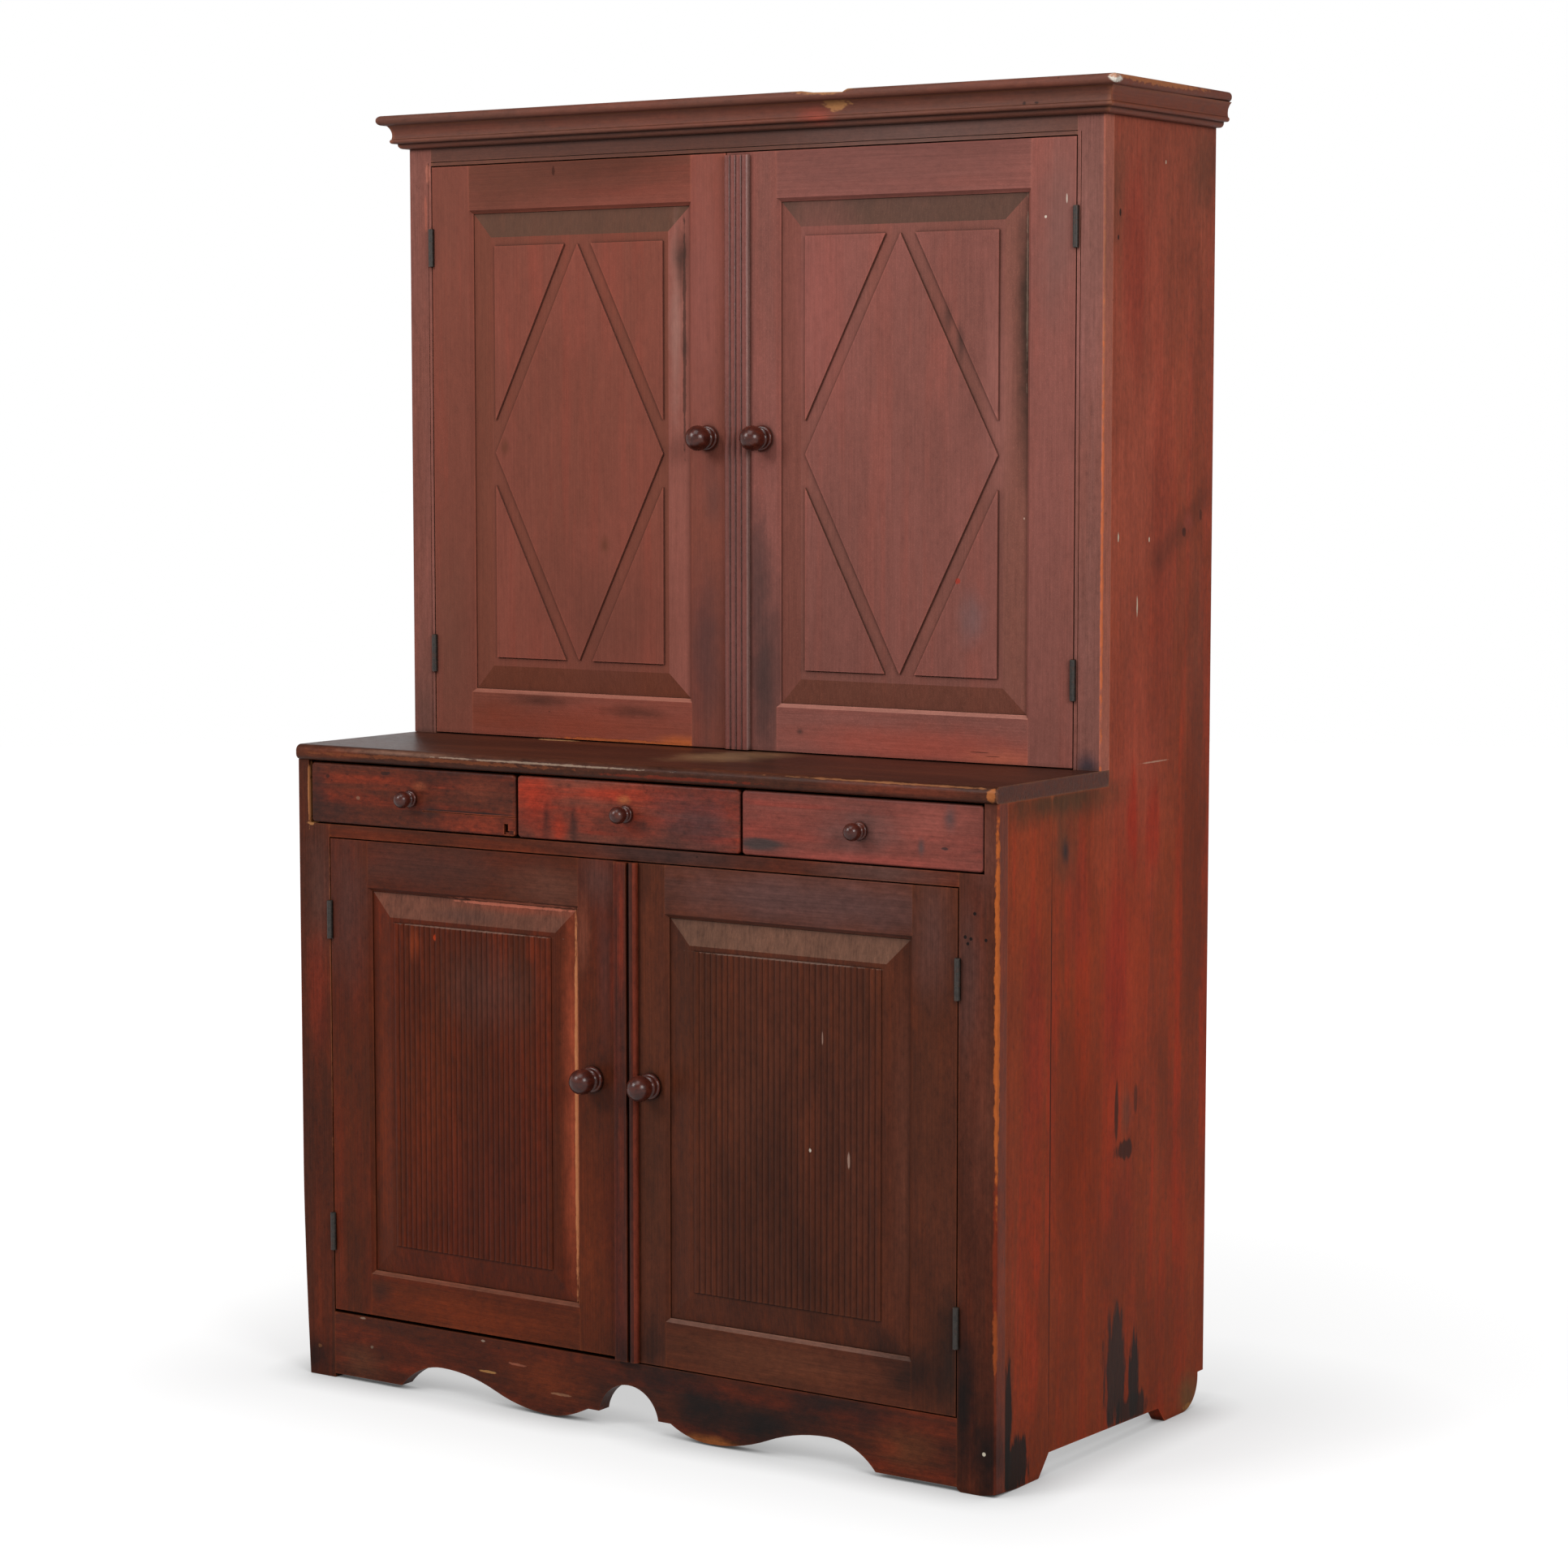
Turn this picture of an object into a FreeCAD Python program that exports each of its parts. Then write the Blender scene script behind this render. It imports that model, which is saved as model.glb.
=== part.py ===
import FreeCAD, Part
import math
import os

# Step-back cupboard in painted pine: a deep lower case with a pair of doors below three drawers,
# and a shallower upper case with a second pair of doors, stepped back on the waist shelf.
# X runs across the front, Y runs from front to back, Z is up, and the floor is at zero.

# Case
case_width = 1250.0
case_depth = 610.0
step_depth = 280.0
side_thickness = 22.0
side_front_board = 145.0
frame_thickness = 25.0
back_thickness = 12.0
back_planks = 5
plank_gap = 0.8
back_bottom = 52.0
shelf_thickness = 20.0
shelf_setback = 42.0
dado_depth = 8.0
corner_round = 3.0

# Heights, stacked from the floor upwards
skirt_top = 103.0
lower_opening_height = 739.0
drawer_rail_height = 19.5
drawer_opening_height = 97.0
waist_thickness = 23.5
upper_opening_height = 890.0
frieze_height = 64.0
top_thickness = 15.0

# Boards inside
bottom_board_lip = 9.0
lower_bay_height = 318.0
upper_bay_height = 288.0

# Face frame
lower_stile_width = 62.0
upper_stile_width = 44.0
bead_width = 5.0
quirk_width = 1.2
quirk_depth = 2.0

# Waist shelf and top
waist_overhang = 7.0
waist_nose_top = 10.0
waist_nose_bottom = 8.0
waist_end_round = 5.0
top_overhang = 37.0
top_nose = 7.2
top_right_taper = 12.0
chip_left = 137.0
chip_width = 82.0
chip_height = 5.0
chip_depth = 55.0

# Cornice moulding, from its lower edge upwards
cornice_height = 36.0
cornice_fillet = 6.0
cornice_ovolo = 6.5
cornice_step = 10.5
cornice_bead_radius = 3.6
cornice_quirk = 1.5
cornice_top_reach = 25.0
cornice_cove_sag = 3.0

# Scalloped skirt, measured out from the centre line
arch_half = 54.0
arch_crown = 68.0
arch_step_height = 22.0
arch_step_end = 76.0
lobe_reach = 145.0
lobe_height = 2.5
crest_reach = 350.0
crest_height = 44.0
skirt_foot_reach = 430.0
skirt_foot_height = 6.0

# Feet cut from the side boards, measured from the front face
side_cut_start = 119.0
side_cut_slope = 28.0
side_cut_front_height = 31.0
side_cut_rear_height = 23.0
side_cut_end = 469.0
side_cut_rear_slope = 20.0
heel_radius = 46.0
heel_notch = 17.0
left_foot_wear = 12.0
left_foot_wear_height = 480.0
right_foot_round = 8.0
right_foot_lift = 4.5
right_foot_run = 25.0
right_side_run = 60.0

# Stop behind the upper doors
stop_length = 240.0
stop_height = 36.0
stop_drop = 14.0
stop_thickness = 16.0

# Doors
door_thickness = 22.0
door_gap = 2.0
hinge_stile_width = 73.0
sticking_width = 5.5
sticking_depth = 5.0
groove_set = 8.0
groove_width = 6.0
groove_depth = 8.0
groove_room = 1.0
joint_clear = 0.1
tenon_length = 38.0
tenon_inset = 10.0
upper_meeting = -16.5
lower_meeting = -19.0
upper_left_lock_stile = 64.5
upper_right_lock_stile = 88.5
lower_left_lock_stile = 68.0
lower_right_lock_stile = 86.0
upper_top_rail = 69.0
upper_bottom_rail = 66.0
lower_top_rail = 71.0
lower_bottom_rail = 67.0
lower_left_door_planed = 3.0

# Fielded panels
panel_recess = 6.5
panel_back = 16.0
panel_clear = 0.3
panel_bevel = 37.0
panel_band_depth = 1.5
field_height = 3.0
field_root = 0.6
upper_field_margin_x = 46.0
upper_field_margin_z = 51.0
lower_field_margin = 45.0
lozenge_groove = 25.5
reed_pitch = 10.0
reed_depth = 2.0

# Strips planted on the right-hand doors
strip_thickness = 10.0
strip_top_drop = 4.0
upper_strip_width = 41.0
upper_strip_reeds = 4
upper_strip_reed_depth = 3.2
lower_strip_width = 39.5
lower_strip_step_width = 8.0
lower_strip_step_drop = 2.0
lower_strip_bead_width = 14.5
lower_strip_quirk = 1.4

# Butt hinges
hinge_height = 58.0
hinge_inset = 125.0
hinge_knuckles = 3
pin_radius = 2.0
pin_fit = 0.05
pin_proud = 2.5
barrel_radius = 4.2
barrel_clear = 0.6
knuckle_gap = 0.3
leaf_thickness = 1.6
leaf_gap = 0.4
leaf_depth = 19.0
leaf_clear = 0.05

# Door knobs
knob_head_radius = 19.0
knob_neck_radius = 10.0
knob_neck_length = 4.5
knob_base_radius = 19.2
knob_base_thickness = 7.0
knob_face_gap = 0.3
knob_stem_radius = 5.0
knob_fit = 0.05
upper_knob_height = 465.0
lower_knob_height = 411.0
upper_left_knob_inset = 33.0
upper_right_knob_inset = 63.6
lower_left_knob_inset = 41.4
lower_right_knob_inset = 60.5

# Drawers
drawer_front_thickness = 20.0
drawer_front_height = 92.5
drawer_front_round = 4.0
drawer_front_gap = 4.0
drawer_corner_round = 6.5
left_drawer_planed = 3.0
drawer_front_lift = 1.5
drawer_length = 470.0
drawer_side_thickness = 12.0
drawer_side_drop = 8.0
drawer_side_clear = 1.5
drawer_bottom_thickness = 8.0
drawer_bottom_height = 8.0
drawer_groove = 5.0
slide_clear = 0.3
guide_thickness = 16.0
runner_width = 44.0
fence_height = 28.0
drawer_knob_head_radius = 12.8
drawer_knob_neck_radius = 6.5
drawer_knob_neck_length = 4.0
drawer_knob_base_radius = 12.8
drawer_knob_base_thickness = 5.0
drawer_knob_stem_radius = 4.0

# Split in the left drawer front, measured from its right and lower edges
split_length = 176.0
split_height = 29.0
split_width = 0.9
split_depth = 2.5
notch_inset = 13.0
notch_width = 8.0
notch_bottom = 6.0
notch_height = 13.0
notch_depth = 7.0
notch_step = 3.0

# Places that follow from the sizes above; the origin is under the middle of the whole piece
half_width = case_width / 2
inner_half = half_width - side_thickness
knob_head_start = knob_face_gap + knob_base_thickness + knob_neck_length
knob_head_middle = knob_head_start + math.sqrt(knob_head_radius ** 2 - knob_neck_radius ** 2)
door_knob_length = knob_head_middle + knob_head_radius
lower_face = -(case_depth - door_knob_length) / 2
back_face = lower_face + case_depth
back_inner = back_face - back_thickness
upper_face = lower_face + step_depth
lower_frame_back = lower_face + frame_thickness
upper_frame_back = upper_face + frame_thickness
drawer_rail_bottom = skirt_top + lower_opening_height
drawer_rail_top = drawer_rail_bottom + drawer_rail_height
waist_bottom = drawer_rail_top + drawer_opening_height
waist_top = waist_bottom + waist_thickness
frieze_bottom = waist_top + upper_opening_height
top_underside = frieze_bottom + frieze_height
top_height = top_underside + top_thickness
cornice_bottom = top_underside - cornice_height
bottom_board_top = skirt_top + bottom_board_lip
lower_shelf_bottom = bottom_board_top + lower_bay_height
upper_shelf_low_bottom = waist_top + upper_bay_height
upper_shelf_high_bottom = upper_shelf_low_bottom + shelf_thickness + upper_bay_height
lower_opening_half = half_width - lower_stile_width
upper_opening_half = half_width - upper_stile_width
drawer_pitch = 2 * inner_half / 3


def vec(x, y, z):
    return FreeCAD.Vector(x, y, z)


def box(x0, x1, y0, y1, z0, z1):
    """Box between two corners, given in any order along each axis."""
    low = vec(min(x0, x1), min(y0, y1), min(z0, z1))
    return Part.makeBox(abs(x1 - x0), abs(y1 - y0), abs(z1 - z0), low)


def prism(points, push):
    """Solid made by pushing a flat polygon along a vector."""
    return Part.Face(Part.makePolygon(points + points[:1])).extrude(push)


def front_prism(outline, y0, y1):
    """Solid with an outline of (x, z) points, from y0 to y1."""
    return prism([vec(x, y0, z) for x, z in outline], vec(0, y1 - y0, 0))


def outline_edges(points):
    """Chain of edges; a point given as a (middle, end) pair is an arc to its end."""
    edges = []
    here = points[0]
    for step in points[1:]:
        if isinstance(step, tuple):
            middle, end = step
            edges.append(Part.Arc(here, middle, end).toShape())
            here = end
        else:
            edges.append(Part.LineSegment(here, step).toShape())
            here = step
    return edges


def outline_wire(points):
    """Closed wire through points and arcs."""
    return Part.Wire(outline_edges(points + points[:1]))


def frustum(x0, x1, z0, z1, y0, inset, y1):
    """Solid between a rectangle at y0 and the same rectangle drawn in by inset at y1."""
    wires = []
    for y, draw_in in ((y0, 0.0), (y1, inset)):
        corners = [
            vec(x0 + draw_in, y, z0 + draw_in),
            vec(x1 - draw_in, y, z0 + draw_in),
            vec(x1 - draw_in, y, z1 - draw_in),
            vec(x0 + draw_in, y, z1 - draw_in),
        ]
        wires.append(Part.makePolygon(corners + corners[:1]))
    return Part.makeLoft(wires, True, True)


def joined(*shapes):
    """One clean solid from overlapping shapes."""
    whole = shapes[0]
    for shape in shapes[1:]:
        whole = whole.fuse(shape)
    return whole.removeSplitter()


def rounded(shape, radius, wanted):
    """Rounds the edges whose two ends satisfy the test wanted."""
    edges = []
    for edge in shape.Edges:
        ends = [vertex.Point for vertex in edge.Vertexes]
        if len(ends) == 2 and wanted(ends[0], ends[1]):
            edges.append(edge)
    return shape.makeFillet(radius, edges)


def along_front(y, x=None, z=None):
    """Test for an edge in the plane at y, kept to a line at x or z where one is given."""
    def wanted(a, b):
        for p in (a, b):
            if abs(p.y - y) > 1e-6:
                return False
            if x is not None and abs(p.x - x) > 1e-6:
                return False
            if z is not None and abs(p.z - z) > 1e-6:
                return False
        return True

    return wanted


def shelf_ends(z0, z1, y0):
    """Shelf board let into both side boards, back to the planks."""
    reach = inner_half + dado_depth
    return box(-reach, reach, y0, back_inner, z0, z1)


def inner_boards():
    """Shelves and the bottom board, all let into the sides."""
    setback_low = lower_face + shelf_setback
    setback_high = upper_face + shelf_setback
    low_top = upper_shelf_low_bottom + shelf_thickness
    high_top = upper_shelf_high_bottom + shelf_thickness
    bottom_underside = bottom_board_top - shelf_thickness
    return {
        "bottom_board": shelf_ends(bottom_underside, bottom_board_top, lower_frame_back),
        "lower_shelf": shelf_ends(lower_shelf_bottom, lower_shelf_bottom + shelf_thickness, setback_low),
        "upper_shelf_low": shelf_ends(upper_shelf_low_bottom, low_top, setback_high),
        "upper_shelf_high": shelf_ends(upper_shelf_high_bottom, high_top, setback_high),
    }


def waist_boards():
    """Front waist board across the whole case, and the board behind it between the sides."""
    front_y = lower_face - waist_overhang
    front = box(-half_width, half_width, front_y, upper_frame_back, waist_bottom, waist_top)
    front = rounded(front, waist_nose_top, along_front(front_y, z=waist_top))
    front = rounded(front, waist_nose_bottom, along_front(front_y, z=waist_bottom))

    def left_end(a, b):
        return max(a.x, b.x) < -half_width + 1e-6 and min(a.z, b.z) > waist_top - 1e-6

    front = rounded(front, waist_end_round, left_end)
    rear = shelf_ends(waist_bottom, waist_top, upper_frame_back)
    return [front, rear]


def side_cut():
    """Space under a side board between its front and rear feet, as (y, z) points."""
    cut_front = lower_face + side_cut_start
    cut_rear = lower_face + side_cut_end
    return [
        (cut_front, 0.0),
        (cut_front + side_cut_slope, side_cut_front_height),
        (cut_rear, side_cut_rear_height),
        (cut_rear + side_cut_rear_slope, 0.0),
    ]


def side_boards(side, shelves):
    """Two upright boards of one side, with feet, a worn heel and the step at the waist."""
    outer = side * half_width
    inner = side * inner_half
    seam = lower_face + side_front_board
    front = box(outer, inner, lower_frame_back, seam, 0.0, waist_bottom)
    low = box(outer, inner, seam, back_face, 0.0, waist_bottom)
    high = box(outer, inner, upper_frame_back, back_face, waist_bottom, top_underside)
    rear = joined(low, high)
    push = vec(inner - outer, 0, 0)
    arch = prism([vec(outer, y, z) for y, z in side_cut()], push)
    heel_y = back_face - heel_notch
    bow = heel_radius * (1 - math.sqrt(0.5))
    heel = outline_wire([
        vec(outer, heel_y - heel_radius, 0),
        (vec(outer, heel_y - bow, bow), vec(outer, heel_y, heel_radius)),
        vec(outer, heel_y, back_bottom),
        vec(outer, back_face, back_bottom),
        vec(outer, back_face, 0),
    ])
    heel_cut = Part.Face(heel).extrude(push)
    front = front.cut(arch)
    if side > 0:
        front = front.cut(worn_foot_wedge())
    rear = rear.cut(arch).cut(heel_cut)
    for shelf in shelves:
        rear = rear.cut(shelf)
        front = front.cut(shelf)
    return [front, rear]


def back_plank_boards():
    """Upright planks between the sides, closing the back."""
    pitch = 2 * inner_half / back_planks
    planks = []
    for index in range(back_planks):
        left = -inner_half + index * pitch
        first = 0.0 if index == 0 else plank_gap / 2
        last = 0.0 if index == back_planks - 1 else plank_gap / 2
        right = left + pitch - last
        planks.append(box(left + first, right, back_inner, back_face, back_bottom, top_underside))
    return planks


def top_board():
    """Top with a rounded nose on its front and ends, a chip in its front edge, and one end out of square."""
    reach = half_width + top_overhang
    front_y = upper_face - top_overhang
    board = prism([
        vec(-reach, front_y, top_underside),
        vec(reach, front_y, top_underside),
        vec(reach - top_right_taper, back_face, top_underside),
        vec(-reach, back_face, top_underside),
    ], vec(0, 0, top_thickness))

    def nosed(a, b):
        level = abs(a.z - b.z) < 1e-6
        at_back = abs(a.y - back_face) < 1e-6 and abs(b.y - back_face) < 1e-6
        return level and not at_back

    board = rounded(board, top_nose, nosed)
    wires = []
    for y, drop in ((front_y, chip_height), (front_y + chip_depth, chip_height * 0.02)):
        hollow = [
            vec(chip_left, y, top_height),
            vec(chip_left + chip_width * 0.2, y, top_height - drop * 0.65),
            vec(chip_left + chip_width * 0.92, y, top_height - drop),
            vec(chip_left + chip_width, y, top_height),
            vec(chip_left + chip_width, y, top_height + chip_height),
            vec(chip_left, y, top_height + chip_height),
        ]
        wires.append(Part.makePolygon(hollow + hollow[:1]))
    return board.cut(Part.makeLoft(wires, True, True))


def cornice_profile(place):
    """Cornice section; place(reach, height) turns reach and height into a point."""
    ovolo_top = cornice_ovolo
    diagonal = math.sqrt(0.5)
    fillet_end = cornice_fillet
    ovolo_end = cornice_fillet + cornice_ovolo
    bead_base = ovolo_end + cornice_step - cornice_bead_radius - cornice_quirk
    bead_low = ovolo_top + cornice_quirk
    bead_high = bead_low + 2 * cornice_bead_radius
    cove_low = place(bead_base + cornice_quirk, bead_high)
    cove_high = place(cornice_top_reach, cornice_height)
    cove_middle = place(
        (bead_base + cornice_quirk + cornice_top_reach) / 2 - cornice_cove_sag,
        (bead_high + cornice_height) / 2,
    )
    return outline_wire([
        place(0.0, 0.0),
        place(fillet_end, 0.0),
        (
            place(fillet_end + cornice_ovolo * diagonal, cornice_ovolo * (1 - diagonal)),
            place(ovolo_end, ovolo_top),
        ),
        place(ovolo_end, bead_low),
        place(bead_base, bead_low),
        (
            place(bead_base + cornice_bead_radius, bead_low + cornice_bead_radius),
            place(bead_base, bead_high),
        ),
        cove_low,
        (cove_middle, cove_high),
        place(0.0, cornice_height),
    ])


def cornice():
    """Front moulding and two returns, mitred at the front corners."""
    reach = top_overhang
    far = half_width + reach
    front_line = upper_face - reach

    def front_place(out, up):
        return vec(-far, upper_face - out, cornice_bottom + up)

    run = Part.Face(cornice_profile(front_place)).extrude(vec(2 * far, 0, 0))
    base = cornice_bottom
    front_keep = prism([
        vec(-half_width, upper_face, base),
        vec(half_width, upper_face, base),
        vec(far, front_line, base),
        vec(-far, front_line, base),
    ], vec(0, 0, cornice_height))
    pieces = {"cornice_front": run.common(front_keep)}
    for side, name in ((-1, "cornice_left_return"), (1, "cornice_right_return")):

        def side_place(out, up):
            return vec(side * (half_width + out), front_line, cornice_bottom + up)

        run = Part.Face(cornice_profile(side_place)).extrude(vec(0, back_face - front_line, 0))
        keep = prism([
            vec(side * half_width, upper_face, base),
            vec(side * half_width, back_face, base),
            vec(side * far, back_face, base),
            vec(side * far, front_line, base),
        ], vec(0, 0, cornice_height))
        pieces[name] = run.common(keep)
    return pieces


def quirk(x0, x1, z0, z1):
    """Groove that parts the small bead from the upper face frame."""
    return box(x0, x1, upper_face, upper_face + quirk_depth, z0, z1)


def upper_stile(side):
    """Upper face frame stile with a quirk bead along the opening."""
    outer = side * half_width
    inner = side * upper_opening_half
    stile = box(outer, inner, upper_face, upper_frame_back, waist_top, top_underside)
    stile = rounded(stile, corner_round, along_front(upper_face, x=outer))
    groove = inner + side * bead_width
    return stile.cut(quirk(groove, groove + side * quirk_width, waist_top, frieze_bottom + bead_width))


def frieze_rail():
    """Rail over the upper doors with the same bead along its lower edge."""
    half = upper_opening_half
    rail = box(-half, half, upper_face, upper_frame_back, frieze_bottom, top_underside)
    level = frieze_bottom + bead_width
    return rail.cut(quirk(-half, half, level, level + quirk_width))


def upper_door_stop():
    """Block on the back of the frieze rail that both upper doors close against."""
    middle = upper_meeting
    low = frieze_bottom - stop_drop
    return box(
        middle - stop_length / 2, middle + stop_length / 2,
        upper_frame_back, upper_frame_back + stop_thickness, low, low + stop_height,
    )


def lower_stile(side):
    """Lower face frame stile, notched narrower beside the drawers."""
    outer = side * half_width
    wide = box(outer, side * lower_opening_half, lower_face, lower_frame_back, 0.0, drawer_rail_top)
    narrow = box(outer, side * inner_half, lower_face, lower_frame_back, drawer_rail_top, waist_bottom)
    stile = joined(wide, narrow)
    stile = rounded(stile, corner_round, along_front(lower_face, x=outer))
    if side < 0:
        return stile.cut(left_foot_wear_tool())
    return stile.cut(right_foot_corner()).cut(worn_foot_wedge())


def left_foot_wear_tool():
    """Long shallow curve that has been worn off the outer edge of the left foot."""
    edge = -half_width
    radius = (left_foot_wear_height ** 2 + left_foot_wear ** 2) / (2 * left_foot_wear)
    rise = left_foot_wear_height / 2
    worn_middle = radius - math.sqrt(radius * radius - rise * rise)
    y = lower_face
    tool = outline_wire([
        vec(edge, y, left_foot_wear_height),
        (vec(edge + worn_middle, y, rise), vec(edge + left_foot_wear, y, 0)),
        vec(edge, y, 0),
    ])
    return Part.Face(tool).extrude(vec(0, frame_thickness, 0))


def right_foot_corner():
    """Corner rubbed off the bottom of the right foot, at its inner edge."""
    edge = lower_opening_half
    bow = right_foot_round * (1 - math.sqrt(0.5))
    y = lower_face
    corner = outline_wire([
        vec(edge, y, right_foot_round),
        (vec(edge + bow, y, bow), vec(edge + right_foot_round, y, 0)),
        vec(edge, y, 0),
    ])
    return Part.Face(corner).extrude(vec(0, frame_thickness, 0))


def worn_foot_wedge():
    """Slanted piece worn off the bottom of the right foot, at its outer corner."""
    corner = vec(half_width, lower_face, 0)
    above = vec(half_width, lower_face, right_foot_lift)
    inward = vec(half_width - right_foot_run, lower_face, 0)
    behind = vec(half_width, lower_face + right_side_run, 0)
    sides = []
    corners = (
        (corner, above, inward), (corner, behind, above), (corner, inward, behind), (above, behind, inward),
    )
    for a, b, c in corners:
        sides.append(Part.Face(Part.makePolygon([a, b, c, a])))
    return Part.Solid(Part.Shell(sides))


def tangent_arc(low_point, level_point, y):
    """Arc end pair from low_point to level_point, running level at level_point."""
    run = level_point[0] - low_point[0]
    rise = level_point[1] - low_point[1]
    radius = (run * run + rise * rise) / (2 * rise)
    centre = (level_point[0], level_point[1] - radius)
    middle_run = run / 2
    height = math.copysign(math.sqrt(radius * radius - middle_run * middle_run), radius)
    return vec(level_point[0] - middle_run, y, centre[1] + height)


def skirt_board():
    """Scalloped board between the lower stiles: a centre arch, two lobes and two feet."""
    y = lower_face
    inflection = ((lobe_reach + crest_reach) / 2, (lobe_height + crest_height) / 2)
    lobe = (lobe_reach, lobe_height)
    crest = (crest_reach, crest_height)
    foot = (skirt_foot_reach, skirt_foot_height)
    shoulder = (arch_step_end, arch_step_height)

    def half(sign):
        """Points from the arch to the stile on one side, as arcs and lines."""
        def flip(point):
            return vec(sign * point.x, point.y, point.z)

        stops = [shoulder, lobe, inflection, crest, foot]
        middles = [
            tangent_arc(shoulder, lobe, y),
            tangent_arc(inflection, lobe, y),
            tangent_arc(inflection, crest, y),
            tangent_arc(foot, crest, y),
        ]
        ends = [flip(vec(x, y, z)) for x, z in stops]
        return ends, [flip(middle) for middle in middles]

    right_ends, right_middles = half(1)
    left_ends, left_middles = half(-1)
    points = [
        vec(lower_opening_half, y, skirt_top),
        vec(lower_opening_half, y, skirt_foot_height),
        right_ends[4],
    ]
    for index in (3, 2, 1, 0):
        points.append((right_middles[index], right_ends[index]))
    points.append(vec(arch_half, y, arch_step_height))
    points.append((vec(0, y, arch_crown), vec(-arch_half, y, arch_step_height)))
    points.append(left_ends[0])
    for index in (0, 1, 2, 3):
        points.append((left_middles[index], left_ends[index + 1]))
    points.append(vec(-lower_opening_half, y, skirt_foot_height))
    points.append(vec(-lower_opening_half, y, skirt_top))
    return Part.Face(outline_wire(points)).extrude(vec(0, frame_thickness, 0))


def drawer_carcass():
    """Drawer rail, guides between the drawers, and runners with outer fences."""
    rail = box(
        -lower_opening_half, lower_opening_half, lower_face, lower_frame_back,
        drawer_rail_bottom, drawer_rail_top,
    )
    guides = []
    runners = []
    for side in (-1, 1):
        middle = side * drawer_pitch / 2
        guides.append(box(
            middle - guide_thickness / 2, middle + guide_thickness / 2,
            lower_frame_back, back_inner, drawer_rail_top, waist_bottom,
        ))
        runners.append(box(
            middle - runner_width / 2, middle + runner_width / 2,
            lower_frame_back, back_inner, drawer_rail_bottom, drawer_rail_top,
        ))
        edge = side * inner_half
        outer_runner = box(
            edge, edge - side * runner_width,
            lower_frame_back, back_inner, drawer_rail_bottom, drawer_rail_top,
        )
        fence = box(
            edge, edge - side * guide_thickness / 2,
            lower_frame_back, back_inner, drawer_rail_top, drawer_rail_top + fence_height,
        )
        runners.append(joined(outer_runner, fence))
    return rail, guides, runners


def knob(x, z, face, sizes):
    """Turned knob on a stem, standing on a face that looks forward: half-round base, cove and ball."""
    stem = sizes["stem"]
    stem_length = sizes["stem_length"]
    base = sizes["base"]
    base_thickness = sizes["base_thickness"]
    neck = sizes["neck"]
    neck_length = sizes["neck_length"]
    head = sizes["head"]

    def at(radius, out):
        return vec(x + radius, face - out, z)

    shoulder = base - base_thickness / 2
    base_top = knob_face_gap + base_thickness
    head_start = base_top + neck_length
    head_middle = head_start + math.sqrt(head ** 2 - neck ** 2)
    diagonal = math.sqrt(0.5)
    cove = at(shoulder - (shoulder - neck) * diagonal, head_start - neck_length * diagonal)
    profile = outline_wire([
        at(0, -stem_length),
        at(stem, -stem_length),
        at(stem, knob_face_gap),
        at(shoulder, knob_face_gap),
        (at(base, (knob_face_gap + base_top) / 2), at(shoulder, base_top)),
        (cove, at(neck, head_start)),
        (at(head, head_middle), at(0, head_middle + head)),
    ])
    return Part.Face(profile).revolve(vec(x, face, z), vec(0, 1, 0), 360)


def door_knob_sizes():
    return {
        "stem": knob_stem_radius,
        "stem_length": door_thickness,
        "base": knob_base_radius,
        "base_thickness": knob_base_thickness,
        "neck": knob_neck_radius,
        "neck_length": knob_neck_length,
        "head": knob_head_radius,
    }


def drawer_knob_sizes():
    return {
        "stem": drawer_knob_stem_radius,
        "stem_length": drawer_front_thickness,
        "base": drawer_knob_base_radius,
        "base_thickness": drawer_knob_base_thickness,
        "neck": drawer_knob_neck_radius,
        "neck_length": drawer_knob_neck_length,
        "head": drawer_knob_head_radius,
    }


def round_hole(x, z, face, depth, radius):
    """Cutter for a hole through a board that looks forward."""
    return Part.makeCylinder(radius, depth, vec(x, face, z), vec(0, 1, 0))


def front_to_back(a, b):
    """Test for an edge that runs from front to back."""
    return abs(a.y - b.y) > 1e-6


def split_tools(right, bottom):
    """Cutters for a split along a drawer front and the notch that broke out below its end."""
    low = bottom + split_height - split_width / 2
    split = box(right - split_length, right, lower_face, lower_face + split_depth, low, low + split_width)
    notch_right = right - notch_inset
    notch_low = bottom + notch_bottom
    hole = box(
        notch_right - notch_width, notch_right, lower_face, lower_face + notch_depth,
        notch_low, notch_low + notch_height,
    )
    step = box(
        notch_right - notch_width, right - notch_step, lower_face, lower_face + split_depth,
        notch_low - notch_step, notch_low + notch_step,
    )
    return [split, hole, step]


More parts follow.
